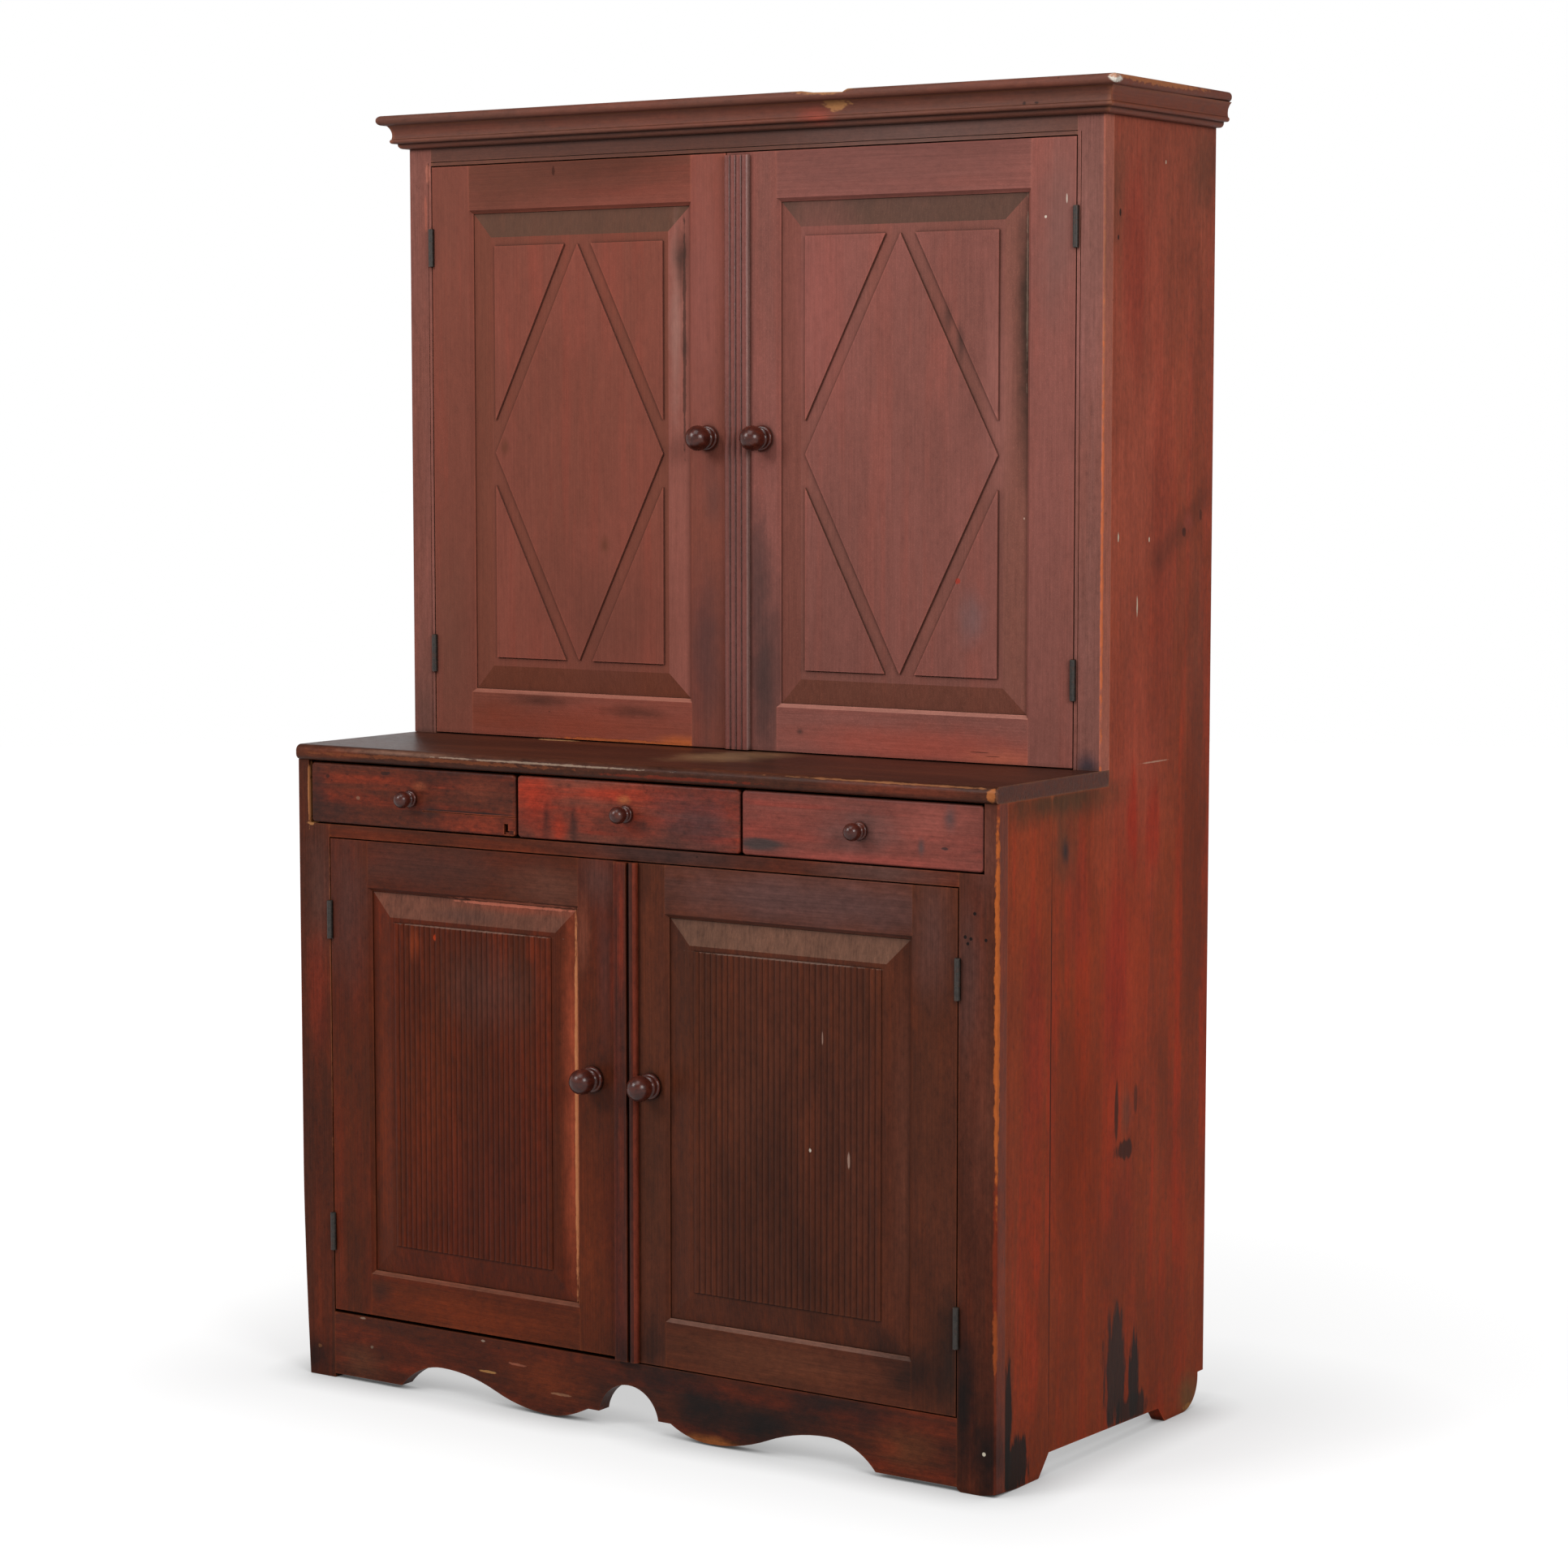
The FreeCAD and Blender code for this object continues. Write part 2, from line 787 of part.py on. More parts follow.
def drawer(centre, planed, is_split):
    """Front, box and knob of one drawer; planed narrows its left edge."""
    half_front = (drawer_pitch - drawer_front_gap) / 2
    bottom = drawer_rail_top + drawer_front_lift
    top = bottom + drawer_front_height
    behind = lower_face + drawer_front_thickness
    front = box(centre - half_front + planed, centre + half_front, lower_face, behind, bottom, top)
    front = rounded(front, drawer_corner_round, front_to_back)
    front = rounded(front, drawer_front_round, along_front(lower_face))
    if is_split:
        for tool in split_tools(centre + half_front, bottom):
            front = front.cut(tool)
    knob_z = (bottom + top) / 2
    hole = round_hole(centre, knob_z, lower_face, drawer_front_thickness, drawer_knob_stem_radius + knob_fit)
    front = front.cut(hole)
    turned = knob(centre, knob_z, lower_face, drawer_knob_sizes())
    half_box = drawer_pitch / 2 - guide_thickness / 2 - drawer_side_clear
    rear = behind + drawer_length
    side_bottom = drawer_rail_top + slide_clear
    side_top = top - drawer_side_drop
    floor = side_bottom + drawer_bottom_height
    floor_top = floor + drawer_bottom_thickness
    slab_half = half_box - drawer_side_thickness + drawer_groove
    back_front = rear - drawer_side_thickness
    slab = box(centre - slab_half, centre + slab_half, behind, back_front, floor, floor_top)
    solids = [slab]
    for side in (-1, 1):
        outer = centre + side * half_box
        wall = box(outer, outer - side * drawer_side_thickness, behind, rear, side_bottom, side_top)
        solids.append(wall.cut(slab))
    inner_half_box = half_box - drawer_side_thickness
    solids.append(box(
        centre - inner_half_box, centre + inner_half_box, back_front, rear, side_bottom, side_top,
    ))
    return front, solids, turned


class Door:
    """One framed door: its edges, sight lines and hinge places."""

    def __init__(self, face, opening_half, side, meeting, bottom, top, lock_stile, top_rail, bottom_rail):
        self.face = face
        self.side = side
        self.toward = -side
        self.bottom = bottom + door_gap
        self.top = top - door_gap
        self.hinge_edge = side * (opening_half - door_gap)
        self.lock_edge = meeting + side * door_gap / 2
        self.pin_x = side * (opening_half - door_gap / 2)
        self.pin_y = face - pin_proud
        self.hinge_arris = self.hinge_edge + self.toward * hinge_stile_width
        self.lock_arris = self.lock_edge - self.toward * lock_stile
        self.hinge_sight = self.hinge_arris + self.toward * sticking_width
        self.lock_sight = self.lock_arris - self.toward * sticking_width
        self.arris_top = self.top - top_rail
        self.arris_bottom = self.bottom + bottom_rail
        self.sight_top = self.arris_top - sticking_width
        self.sight_bottom = self.arris_bottom + sticking_width
        self.hinge_heights = (self.bottom + hinge_inset, self.top - hinge_inset)

    def sight(self):
        """Sight rectangle as left, right, bottom, top."""
        left = min(self.hinge_sight, self.lock_sight)
        right = max(self.hinge_sight, self.lock_sight)
        return left, right, self.sight_bottom, self.sight_top


def sticking_cut(door):
    """Chamfer tool that slopes all four members into the sight opening."""
    left = min(door.hinge_arris, door.lock_arris)
    right = max(door.hinge_arris, door.lock_arris)
    return frustum(
        left, right, door.arris_bottom, door.arris_top,
        door.face, sticking_width, door.face + sticking_depth,
    )


def panel_groove(door):
    """Groove tool for the panel's tongue."""
    left, right, bottom, top = door.sight()
    return box(
        left - groove_depth, right + groove_depth,
        door.face + groove_set, door.face + groove_set + groove_width,
        bottom - groove_depth, top + groove_depth,
    )


def tenon(door, shoulder, into, low, high, room):
    """Tenon from a rail shoulder into a stile; room widens it into a mortise."""
    return box(
        shoulder, shoulder + into * (tenon_length + room),
        door.face + groove_set - room, door.face + groove_set + groove_width + room,
        low + tenon_inset - room, high - tenon_inset + room,
    )


def rail_spans(door):
    """Lower and upper heights of the bottom rail and the top rail."""
    return ((door.bottom, door.arris_bottom), (door.arris_top, door.top))


def door_stile(door, edge, arris, sight):
    """Stile with mitred sticking, panel groove and two mortises."""
    outline = [
        (edge, door.bottom),
        (edge, door.top),
        (arris, door.top),
        (arris, door.arris_top),
        (sight, door.sight_top),
        (sight, door.sight_bottom),
        (arris, door.arris_bottom),
        (arris, door.bottom),
    ]
    stile = front_prism(outline, door.face, door.face + door_thickness)
    stile = stile.cut(sticking_cut(door)).cut(panel_groove(door))
    into = math.copysign(1, edge - arris)
    for low, high in rail_spans(door):
        stile = stile.cut(tenon(door, arris, into, low, high, joint_clear))
    return stile


def door_rails(door):
    """Bottom and top rails with mitred sticking, panel groove and tenons."""
    rails = []
    ends = ((door.hinge_arris, door.hinge_sight), (door.lock_arris, door.lock_sight))
    inner_lines = (
        (door.arris_bottom, door.sight_bottom, door.bottom),
        (door.arris_top, door.sight_top, door.top),
    )
    for (low, high), (arris, sight, edge) in zip(rail_spans(door), inner_lines):
        outline = [
            (ends[0][0], edge),
            (ends[1][0], edge),
            (ends[1][0], arris),
            (ends[1][1], sight),
            (ends[0][1], sight),
            (ends[0][0], arris),
        ]
        rail = front_prism(outline, door.face, door.face + door_thickness)
        rail = rail.cut(sticking_cut(door)).cut(panel_groove(door))
        rail = joined(
            rail,
            tenon(door, ends[0][0], door.side, low, high, 0.0),
            tenon(door, ends[1][0], -door.side, low, high, 0.0),
        )
        rails.append(rail)
    return rails


def panel_blank(door):
    """Panel with a tongue all round and a bevelled margin up to a flat band."""
    left, right, bottom, top = door.sight()
    face = door.face
    tongue_reach = groove_depth - groove_room
    tongue = box(
        left - tongue_reach, right + tongue_reach,
        face + groove_set + joint_clear, face + groove_set + groove_width - joint_clear,
        bottom - tongue_reach, top + tongue_reach,
    )
    body = box(
        left + panel_clear, right - panel_clear, face + panel_recess, face + panel_back,
        bottom + panel_clear, top - panel_clear,
    )
    bevel = frustum(
        left + panel_clear, right - panel_clear, bottom + panel_clear, top - panel_clear,
        face + panel_recess, panel_bevel, face + panel_band_depth,
    )
    return joined(body, bevel, tongue)


def lozenge_panel(door):
    """Panel whose raised field is cut into a lozenge and four corner triangles."""
    left, right, bottom, top = door.sight()
    left += upper_field_margin_x
    right -= upper_field_margin_x
    bottom += upper_field_margin_z
    top -= upper_field_margin_z
    middle_x = (left + right) / 2
    middle_z = (bottom + top) / 2
    drop = lozenge_groove * (top - bottom) / (right - left)
    outlines = [[(left, middle_z), (middle_x, top), (right, middle_z), (middle_x, bottom)]]
    for x, along in ((left, -1), (right, 1)):
        for z, up in ((bottom, -1), (top, 1)):
            outlines.append([(x, z), (middle_x + along * lozenge_groove, z), (x, middle_z + up * drop)])
    root = door.face + panel_band_depth + field_root
    crest = door.face + panel_band_depth - field_height
    islands = [front_prism(outline, root, crest) for outline in outlines]
    return joined(panel_blank(door), *islands)


def reeded_panel(door):
    """Panel whose raised field is a row of upright reeds."""
    left, right, bottom, top = door.sight()
    left += lower_field_margin
    right -= lower_field_margin
    bottom += lower_field_margin
    top -= lower_field_margin
    reeds = int(round((right - left) / reed_pitch))
    pitch = (right - left) / reeds
    root = door.face + panel_band_depth + field_root
    crest = door.face + panel_band_depth - field_height
    valley = crest + reed_depth
    points = [vec(left, root, bottom), vec(left, valley, bottom)]
    for index in range(reeds):
        start = left + index * pitch
        points.append((vec(start + pitch / 2, crest, bottom), vec(start + pitch, valley, bottom)))
    points.append(vec(right, root, bottom))
    field = Part.Face(outline_wire(points)).extrude(vec(0, 0, top - bottom))
    return joined(panel_blank(door), field)


def hinge_cuts(door, side_sign):
    """Recess tools for the leaf on one side of the gap, with room for the barrels."""
    tools = []
    for height in door.hinge_heights:
        low = height - hinge_height / 2
        deep = leaf_gap / 2 + leaf_thickness + leaf_clear
        tools.append(box(
            door.pin_x, door.pin_x + side_sign * deep,
            door.face, door.face + leaf_depth + leaf_clear,
            low - leaf_clear, low + hinge_height + leaf_clear,
        ))
        tools.append(Part.makeCylinder(
            barrel_radius + barrel_clear, hinge_height + 2 * barrel_clear,
            vec(door.pin_x, door.pin_y, low - barrel_clear),
        ))
    return tools


def hinge_leaf(door, height, side_sign, own_odd):
    """One leaf with its knuckles; own_odd picks the first and third knuckle or the middle one."""
    low = height - hinge_height / 2
    knuckle = hinge_height / hinge_knuckles
    near_x = door.pin_x + side_sign * leaf_gap / 2
    far_x = near_x + side_sign * leaf_thickness
    plate_start = door.pin_y + barrel_radius + barrel_clear
    leaf = box(near_x, far_x, plate_start, door.face + leaf_depth, low, low + hinge_height)
    for index in range(hinge_knuckles):
        if (index % 2 == 0) != own_odd:
            continue
        bottom = low + index * knuckle + (knuckle_gap / 2 if index > 0 else 0.0)
        top = low + (index + 1) * knuckle - (knuckle_gap / 2 if index < hinge_knuckles - 1 else 0.0)
        barrel = Part.makeCylinder(barrel_radius, top - bottom, vec(door.pin_x, door.pin_y, bottom))
        web = box(near_x, far_x, door.pin_y, plate_start, bottom, top)
        leaf = leaf.fuse(barrel).fuse(web)
    hole = Part.makeCylinder(pin_radius + pin_fit, hinge_height, vec(door.pin_x, door.pin_y, low))
    return leaf.cut(hole).removeSplitter()


def hinge_pin(door, height):
    foot = vec(door.pin_x, door.pin_y, height - hinge_height / 2)
    return Part.makeCylinder(pin_radius, hinge_height, foot)


def upper_strip(door):
    """Reeded strip planted on the meeting stile of the upper right door."""
    left = door.lock_edge
    back = door.face
    crest = back - strip_thickness
    valley = crest + upper_strip_reed_depth
    pitch = upper_strip_width / upper_strip_reeds
    points = [vec(left, back, door.bottom), vec(left, valley, door.bottom)]
    for index in range(upper_strip_reeds):
        start = left + index * pitch
        points.append((
            vec(start + pitch / 2, crest, door.bottom),
            vec(start + pitch, valley, door.bottom),
        ))
    points.append(vec(left + upper_strip_width, back, door.bottom))
    height = door.top - strip_top_drop - door.bottom
    return Part.Face(outline_wire(points)).extrude(vec(0, 0, height))


def lower_strip(door):
    """Beaded strip planted on the meeting stile of the lower right door."""
    left = door.lock_edge
    right = left + lower_strip_width
    back = door.face
    front = back - strip_thickness
    low_front = front + lower_strip_step_drop
    step = left + lower_strip_step_width
    bead_left = right - lower_strip_bead_width
    quirk_floor = front + lower_strip_bead_width / 2
    z = door.bottom
    points = [
        vec(left, back, z),
        vec(left, low_front, z),
        vec(step, low_front, z),
        vec(step, front, z),
        vec(bead_left - lower_strip_quirk, front, z),
        vec(bead_left - lower_strip_quirk, quirk_floor, z),
        vec(bead_left, quirk_floor, z),
        (vec((bead_left + right) / 2, front, z), vec(right, quirk_floor, z)),
        vec(right, back, z),
    ]
    return Part.Face(outline_wire(points)).extrude(vec(0, 0, door.top - z))


def doors():
    """The four doors by name."""
    upper = {"face": upper_face, "opening_half": upper_opening_half, "meeting": upper_meeting,
             "bottom": waist_top, "top": frieze_bottom,
             "top_rail": upper_top_rail, "bottom_rail": upper_bottom_rail}
    lower = {"face": lower_face, "opening_half": lower_opening_half, "meeting": lower_meeting,
             "bottom": skirt_top, "top": drawer_rail_bottom,
             "top_rail": lower_top_rail, "bottom_rail": lower_bottom_rail}
    return {
        "upper_left_door": Door(side=-1, lock_stile=upper_left_lock_stile, **upper),
        "upper_right_door": Door(side=1, lock_stile=upper_right_lock_stile, **upper),
        "lower_left_door": Door(side=-1, lock_stile=lower_left_lock_stile, **lower),
        "lower_right_door": Door(side=1, lock_stile=lower_right_lock_stile, **lower),
    }


def knob_places(all_doors):
    """Knob centre (x, z) of each door, from its meeting edge and lower edge."""
    insets = {
        "upper_left_door": (upper_left_knob_inset, upper_knob_height),
        "upper_right_door": (upper_right_knob_inset, upper_knob_height),
        "lower_left_door": (lower_left_knob_inset, lower_knob_height),
        "lower_right_door": (lower_right_knob_inset, lower_knob_height),
    }
    places = {}
    for name, (inset, height) in insets.items():
        door = all_doors[name]
        places[name] = (door.lock_edge + door.side * inset, door.bottom + height)
    return places


def door_nodes(name, door, knob_place):
    """All nodes of one door; the right-hand doors carry a strip on their meeting stile."""
    knob_x, knob_z = knob_place
    hinge_stile = door_stile(door, door.hinge_edge, door.hinge_arris, door.hinge_sight)
    for tool in hinge_cuts(door, door.toward):
        hinge_stile = hinge_stile.cut(tool)
    hole = round_hole(knob_x, knob_z, door.face, door_thickness, knob_stem_radius + knob_fit)
    lock_stile = door_stile(door, door.lock_edge, door.lock_arris, door.lock_sight).cut(hole)
    rails = door_rails(door)
    if name == "lower_left_door":
        shaving = box(
            door.hinge_edge, door.lock_edge, door.face, door.face + door_thickness,
            door.bottom, door.bottom + lower_left_door_planed,
        )
        hinge_stile = hinge_stile.cut(shaving)
        lock_stile = lock_stile.cut(shaving)
        rails = [rail.cut(shaving) for rail in rails]
    is_upper = door.face == upper_face
    leaves = [hinge_leaf(door, height, door.toward, False) for height in door.hinge_heights]
    nodes = {
        name + "_hinge_stile": hinge_stile,
        name + "_lock_stile": lock_stile,
        name + "_rails": rails,
        name + "_panel": lozenge_panel(door) if is_upper else reeded_panel(door),
        name + "_hinge_leaves": leaves,
        name + "_knob": knob(knob_x, knob_z, door.face, door_knob_sizes()),
    }
    if door.side > 0:
        nodes[name + "_strip"] = upper_strip(door) if is_upper else lower_strip(door)
    return nodes


def build():
    """Every node by name, each a solid or a list of solids."""
    nodes = inner_boards()
    shelves = list(nodes.values())
    nodes["waist_shelf"] = waist_boards()
    shelves.append(nodes["waist_shelf"][1])
    nodes["left_side_boards"] = side_boards(-1, shelves)
    nodes["right_side_boards"] = side_boards(1, shelves)
    nodes["back_boards"] = back_plank_boards()
    nodes["top_board"] = top_board()
    nodes.update(cornice())
    nodes["frieze_rail"] = frieze_rail()
    nodes["upper_door_stop"] = upper_door_stop()
    nodes["skirt_board"] = skirt_board()
    rail, guides, runners = drawer_carcass()
    nodes["drawer_rail"] = rail
    nodes["drawer_guides"] = guides
    nodes["drawer_runners"] = runners
    for name, place in (("left_drawer", -1), ("middle_drawer", 0), ("right_drawer", 1)):
        is_left = place < 0
        front, solids, turned = drawer(place * drawer_pitch, left_drawer_planed if is_left else 0.0, is_left)
        nodes[name + "_front"] = front
        nodes[name + "_box"] = solids
        nodes[name + "_knob"] = turned

    all_doors = doors()
    places = knob_places(all_doors)
    frame_stiles = {
        "upper_left_door": ("upper_left_stile", upper_stile(-1)),
        "upper_right_door": ("upper_right_stile", upper_stile(1)),
        "lower_left_door": ("lower_left_stile", lower_stile(-1)),
        "lower_right_door": ("lower_right_stile", lower_stile(1)),
    }
    frame_leaves = []
    pins = []
    for name, door in all_doors.items():
        nodes.update(door_nodes(name, door, places[name]))
        stile_name, stile = frame_stiles[name]
        for tool in hinge_cuts(door, door.side):
            stile = stile.cut(tool)
        nodes[stile_name] = stile
        for height in door.hinge_heights:
            frame_leaves.append(hinge_leaf(door, height, door.side, True))
            pins.append(hinge_pin(door, height))
    nodes["hinge_frame_leaves"] = frame_leaves
    nodes["hinge_pins"] = pins
    return nodes


def main():
    os.makedirs("parts", exist_ok=True)
    for name, shape in build().items():
        if isinstance(shape, list):
            shape = Part.makeCompound(shape)
        shape.exportStep("parts/" + name + ".step")


if __name__ == "__main__":
    main()
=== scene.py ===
import math
from collections import namedtuple

import bmesh
import bpy
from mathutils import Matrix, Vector


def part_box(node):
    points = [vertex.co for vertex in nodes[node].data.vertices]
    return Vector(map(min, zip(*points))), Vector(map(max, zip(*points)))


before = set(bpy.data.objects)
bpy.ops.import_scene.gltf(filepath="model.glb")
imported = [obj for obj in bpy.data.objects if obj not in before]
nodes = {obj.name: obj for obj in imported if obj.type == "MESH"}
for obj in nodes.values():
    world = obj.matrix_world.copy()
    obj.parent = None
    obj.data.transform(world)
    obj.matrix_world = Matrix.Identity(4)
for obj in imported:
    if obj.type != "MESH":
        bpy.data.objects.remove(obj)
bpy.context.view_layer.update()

# Places that the marks and the floor are set out from, in metres
RIGHT_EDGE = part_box("lower_right_stile")[1].x
LEFT_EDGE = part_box("lower_left_stile")[0].x
LOWER_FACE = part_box("lower_right_stile")[0].y
UPPER_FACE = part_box("upper_right_stile")[0].y
WAIST_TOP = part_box("waist_shelf")[1].z
TOP_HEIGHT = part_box("top_board")[1].z
TOP_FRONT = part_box("top_board")[0].y

UPWARD = (0.0, 0.0, 1.0)
DOWNWARD = (0.0, 0.0, -1.0)
LEFTWARD = (-1.0, 0.0, 0.0)
RIGHTWARD = (1.0, 0.0, 0.0)
BACKWARD = (0.0, 1.0, 0.0)

# Reach of the search for free edges, corners and the frame round a panel, in metres
EDGE_REACH = 0.006
CORNER_REACH = 0.009
FRAME_REACH = 0.035
PINE_EDGE_REACH = 0.005
PINE_CORNER_REACH = 0.02
KNOB_CORNER_REACH = 0.008
IRON_EDGE_REACH = 0.0015

# Height of the relief of each finish, in metres
PAINT_RELIEF = 0.0005
PINE_RELIEF = 0.0006
KNOB_RELIEF = 0.000008
IRON_RELIEF = 0.0003

# Shift of the noise from node to node, and depth of the marks on the front and the sides, in metres
SEED_STEP = Vector((3.71, 7.13, 5.29))
FRONT_DEPTH = 0.05
SIDE_DEPTH = 0.012

# Strength of the tint and of the shadow behind a raised field, and the number of planks in the back
RECESS_STRENGTH = 0.30
RIM_STRENGTH = 0.5
BACK_PLANKS = 5

# Round floor inside a round wall, in metres, and the strength of the room's own light
STAGE_RADIUS = 12.0
STAGE_SEGMENTS = 96
WALL_HEIGHT = 5.5
FLOOR_DROP = 0.0005
AMBIENT = 0.27

# Greys of the floor: its own, and those of the painted shadow at the foot and a share of the way from there
# to white
FLOOR_GREY = 0.30
FOOT_GREY = 0.60
NEAR_GREY = 0.80
NEAR_SHARE = 0.2

# Way to white, reach of the painted shadow where the case touches, and where that shadow fades, in metres
WHITE_WAY = 2.2
TOUCH_REACH = 0.09
TOUCH_FADE = 1.0

# Point that the lamps look at, and the camera, in metres, degrees and millimetres
MIDDLE = (0.0, -0.1, 1.0)
CAMERA_PLACE = (3.208, LOWER_FACE - 4.348, 1.468)
CAMERA_DOWN = 5.45
CAMERA_TURN = 34
SENSOR_WIDTH = 36.0
FOCAL_LENGTH = 86.31
CLIP_END = 100.0

# One painted finish: colours as seen on screen, then amounts
# The grime colour serves for dirt and for painted shade in corners and inside the frame round raised
# fields, and the soil amount sets how dark the corners get
Look = namedtuple(
    "Look",
    "main second under raw grime rough gloss streaks fibre wear soil dust uneven mottled",
)

# A worn, dirty or stained place, or at a few places a painted highlight or painted shadow: its middle and
# half sizes, how strong it is, how ragged its rim, and its kind
Mark = namedtuple("Mark", "colour centre size strength ragged kind")

# Slopes that look one way and take a tint, which is their own paint on some nodes and painted light and
# shade on others
Facing = namedtuple("Facing", "colour direction strength start", defaults=(0.05,))

# Tint of the parts of a panel that lie behind the front of its raised field
Recess = namedtuple("Recess", "colour front strength")

# Boards side by side: the left edge of the first one and the width of each, in metres
Planks = namedtuple("Planks", "left width")

LOOKS = {
    "upper_left": Look("784034", "6e3c30", "86392c", "b0683c", "2e1d17",
                       0.62, 0.09, 0.25, 0.2, 0.06, 0.75, 0.25, 0.1, 0.4),
    "upper_right": Look("7b4941", "71443c", "8a4235", "b0683c", "2f1f1a",
                        0.62, 0.09, 0.22, 0.24, 0.06, 0.75, 0.5, 0.1, 0.5),
    "upper_strip": Look("703f38", "653932", "7c3c30", "b0683c", "241613",
                        0.28, 0.22, 0.25, 0.3, 0.1, 0.85, 0.4, 0.1, 0.5),
    "upper_frame": Look("724840", "7d4f48", "7c3d2f", "b0683c", "2a1f1a",
                        0.62, 0.07, 0.22, 0.34, 0.06, 0.75, 0.5, 0.14, 0.7),
    "cornice": Look("59362b", "5f392e", "6e3121", "b0703f", "251a16",
                    0.56, 0.14, 0.3, 0.26, 0.12, 0.75, 0.25, 0.14, 0.8),
    "side": Look("86371d", "77331e", "9c2e18", "b4683a", "2b140c",
                 0.55, 0.05, 0.6, 0.3, 0.2, 0.6, 0.2, 0.3, 1.1),
    "left_drawer": Look("4b2012", "3f1b10", "7a2813", "a8643a", "1a0d09",
                        0.44, 0.14, 0.55, 0.44, 0.4, 0.75, 0.25, 0.6, 2.2),
    "middle_drawer": Look("6c3022", "583025", "8a2814", "b06a3c", "1a0d09",
                          0.44, 0.14, 0.6, 0.44, 0.4, 0.75, 0.25, 0.55, 1.9),
    "right_drawer": Look("763b32", "68362e", "8b3328", "b06a3c", "20120d",
                         0.48, 0.14, 0.4, 0.4, 0.4, 0.75, 0.4, 0.25, 1.0),
    "lower_left": Look("4b1c0c", "441e0e", "642310", "b06432", "120804",
                       0.46, 0.1, 0.5, 0.42, 0.06, 0.9, 0.2, 0.26, 1.2),
    "lower_right": Look("482316", "432012", "5a2814", "b06432", "120805",
                        0.46, 0.1, 0.4, 0.42, 0.06, 0.95, 0.25, 0.3, 1.1),
    "lower_strip": Look("44211a", "3a1c15", "6a2413", "b06432", "120805",
                        0.42, 0.1, 0.45, 0.4, 0.1, 0.9, 0.2, 0.22, 1.3),
    "lower_frame": Look("462115", "3f1e13", "642511", "b56a36", "120905",
                        0.48, 0.08, 0.45, 0.42, 0.1, 0.85, 0.25, 0.38, 1.2),
    "skirt": Look("421a0c", "35180e", "682511", "a8622f", "100806",
                  0.48, 0.12, 0.5, 0.42, 0.12, 0.75, 0.25, 0.34, 1.6),
    "shelf": Look("402217", "331b13", "5c2f1e", "a8703f", "1a100c",
                  0.36, 0.09, 0.3, 0.34, 0.3, 0.6, 0.2, 0.24, 1.6),
}

# Noise that ragged rims follow, cells per metre across and along the grain, and where a mark fades
KINDS = {
    "chip": (110.0, 60.0, 1.06, 0.72),
    "smudge": (24.0, 15.0, 1.1, 0.0),
    "flame": (75.0, 4.5, 1.08, 0.3),
    "scorch": (75.0, 11.0, 1.05, 0.7),
}


def shade(code):
    """Linear colour, with alpha, of a colour written as seen on screen."""
    parts = [int(code[index:index + 2], 16) / 255 for index in (0, 2, 4)]
    values = []
    for part in parts:
        if part <= 0.04045:
            values.append(part / 12.92)
        else:
            values.append(((part + 0.055) / 1.055) ** 2.4)
    return (*values, 1.0)


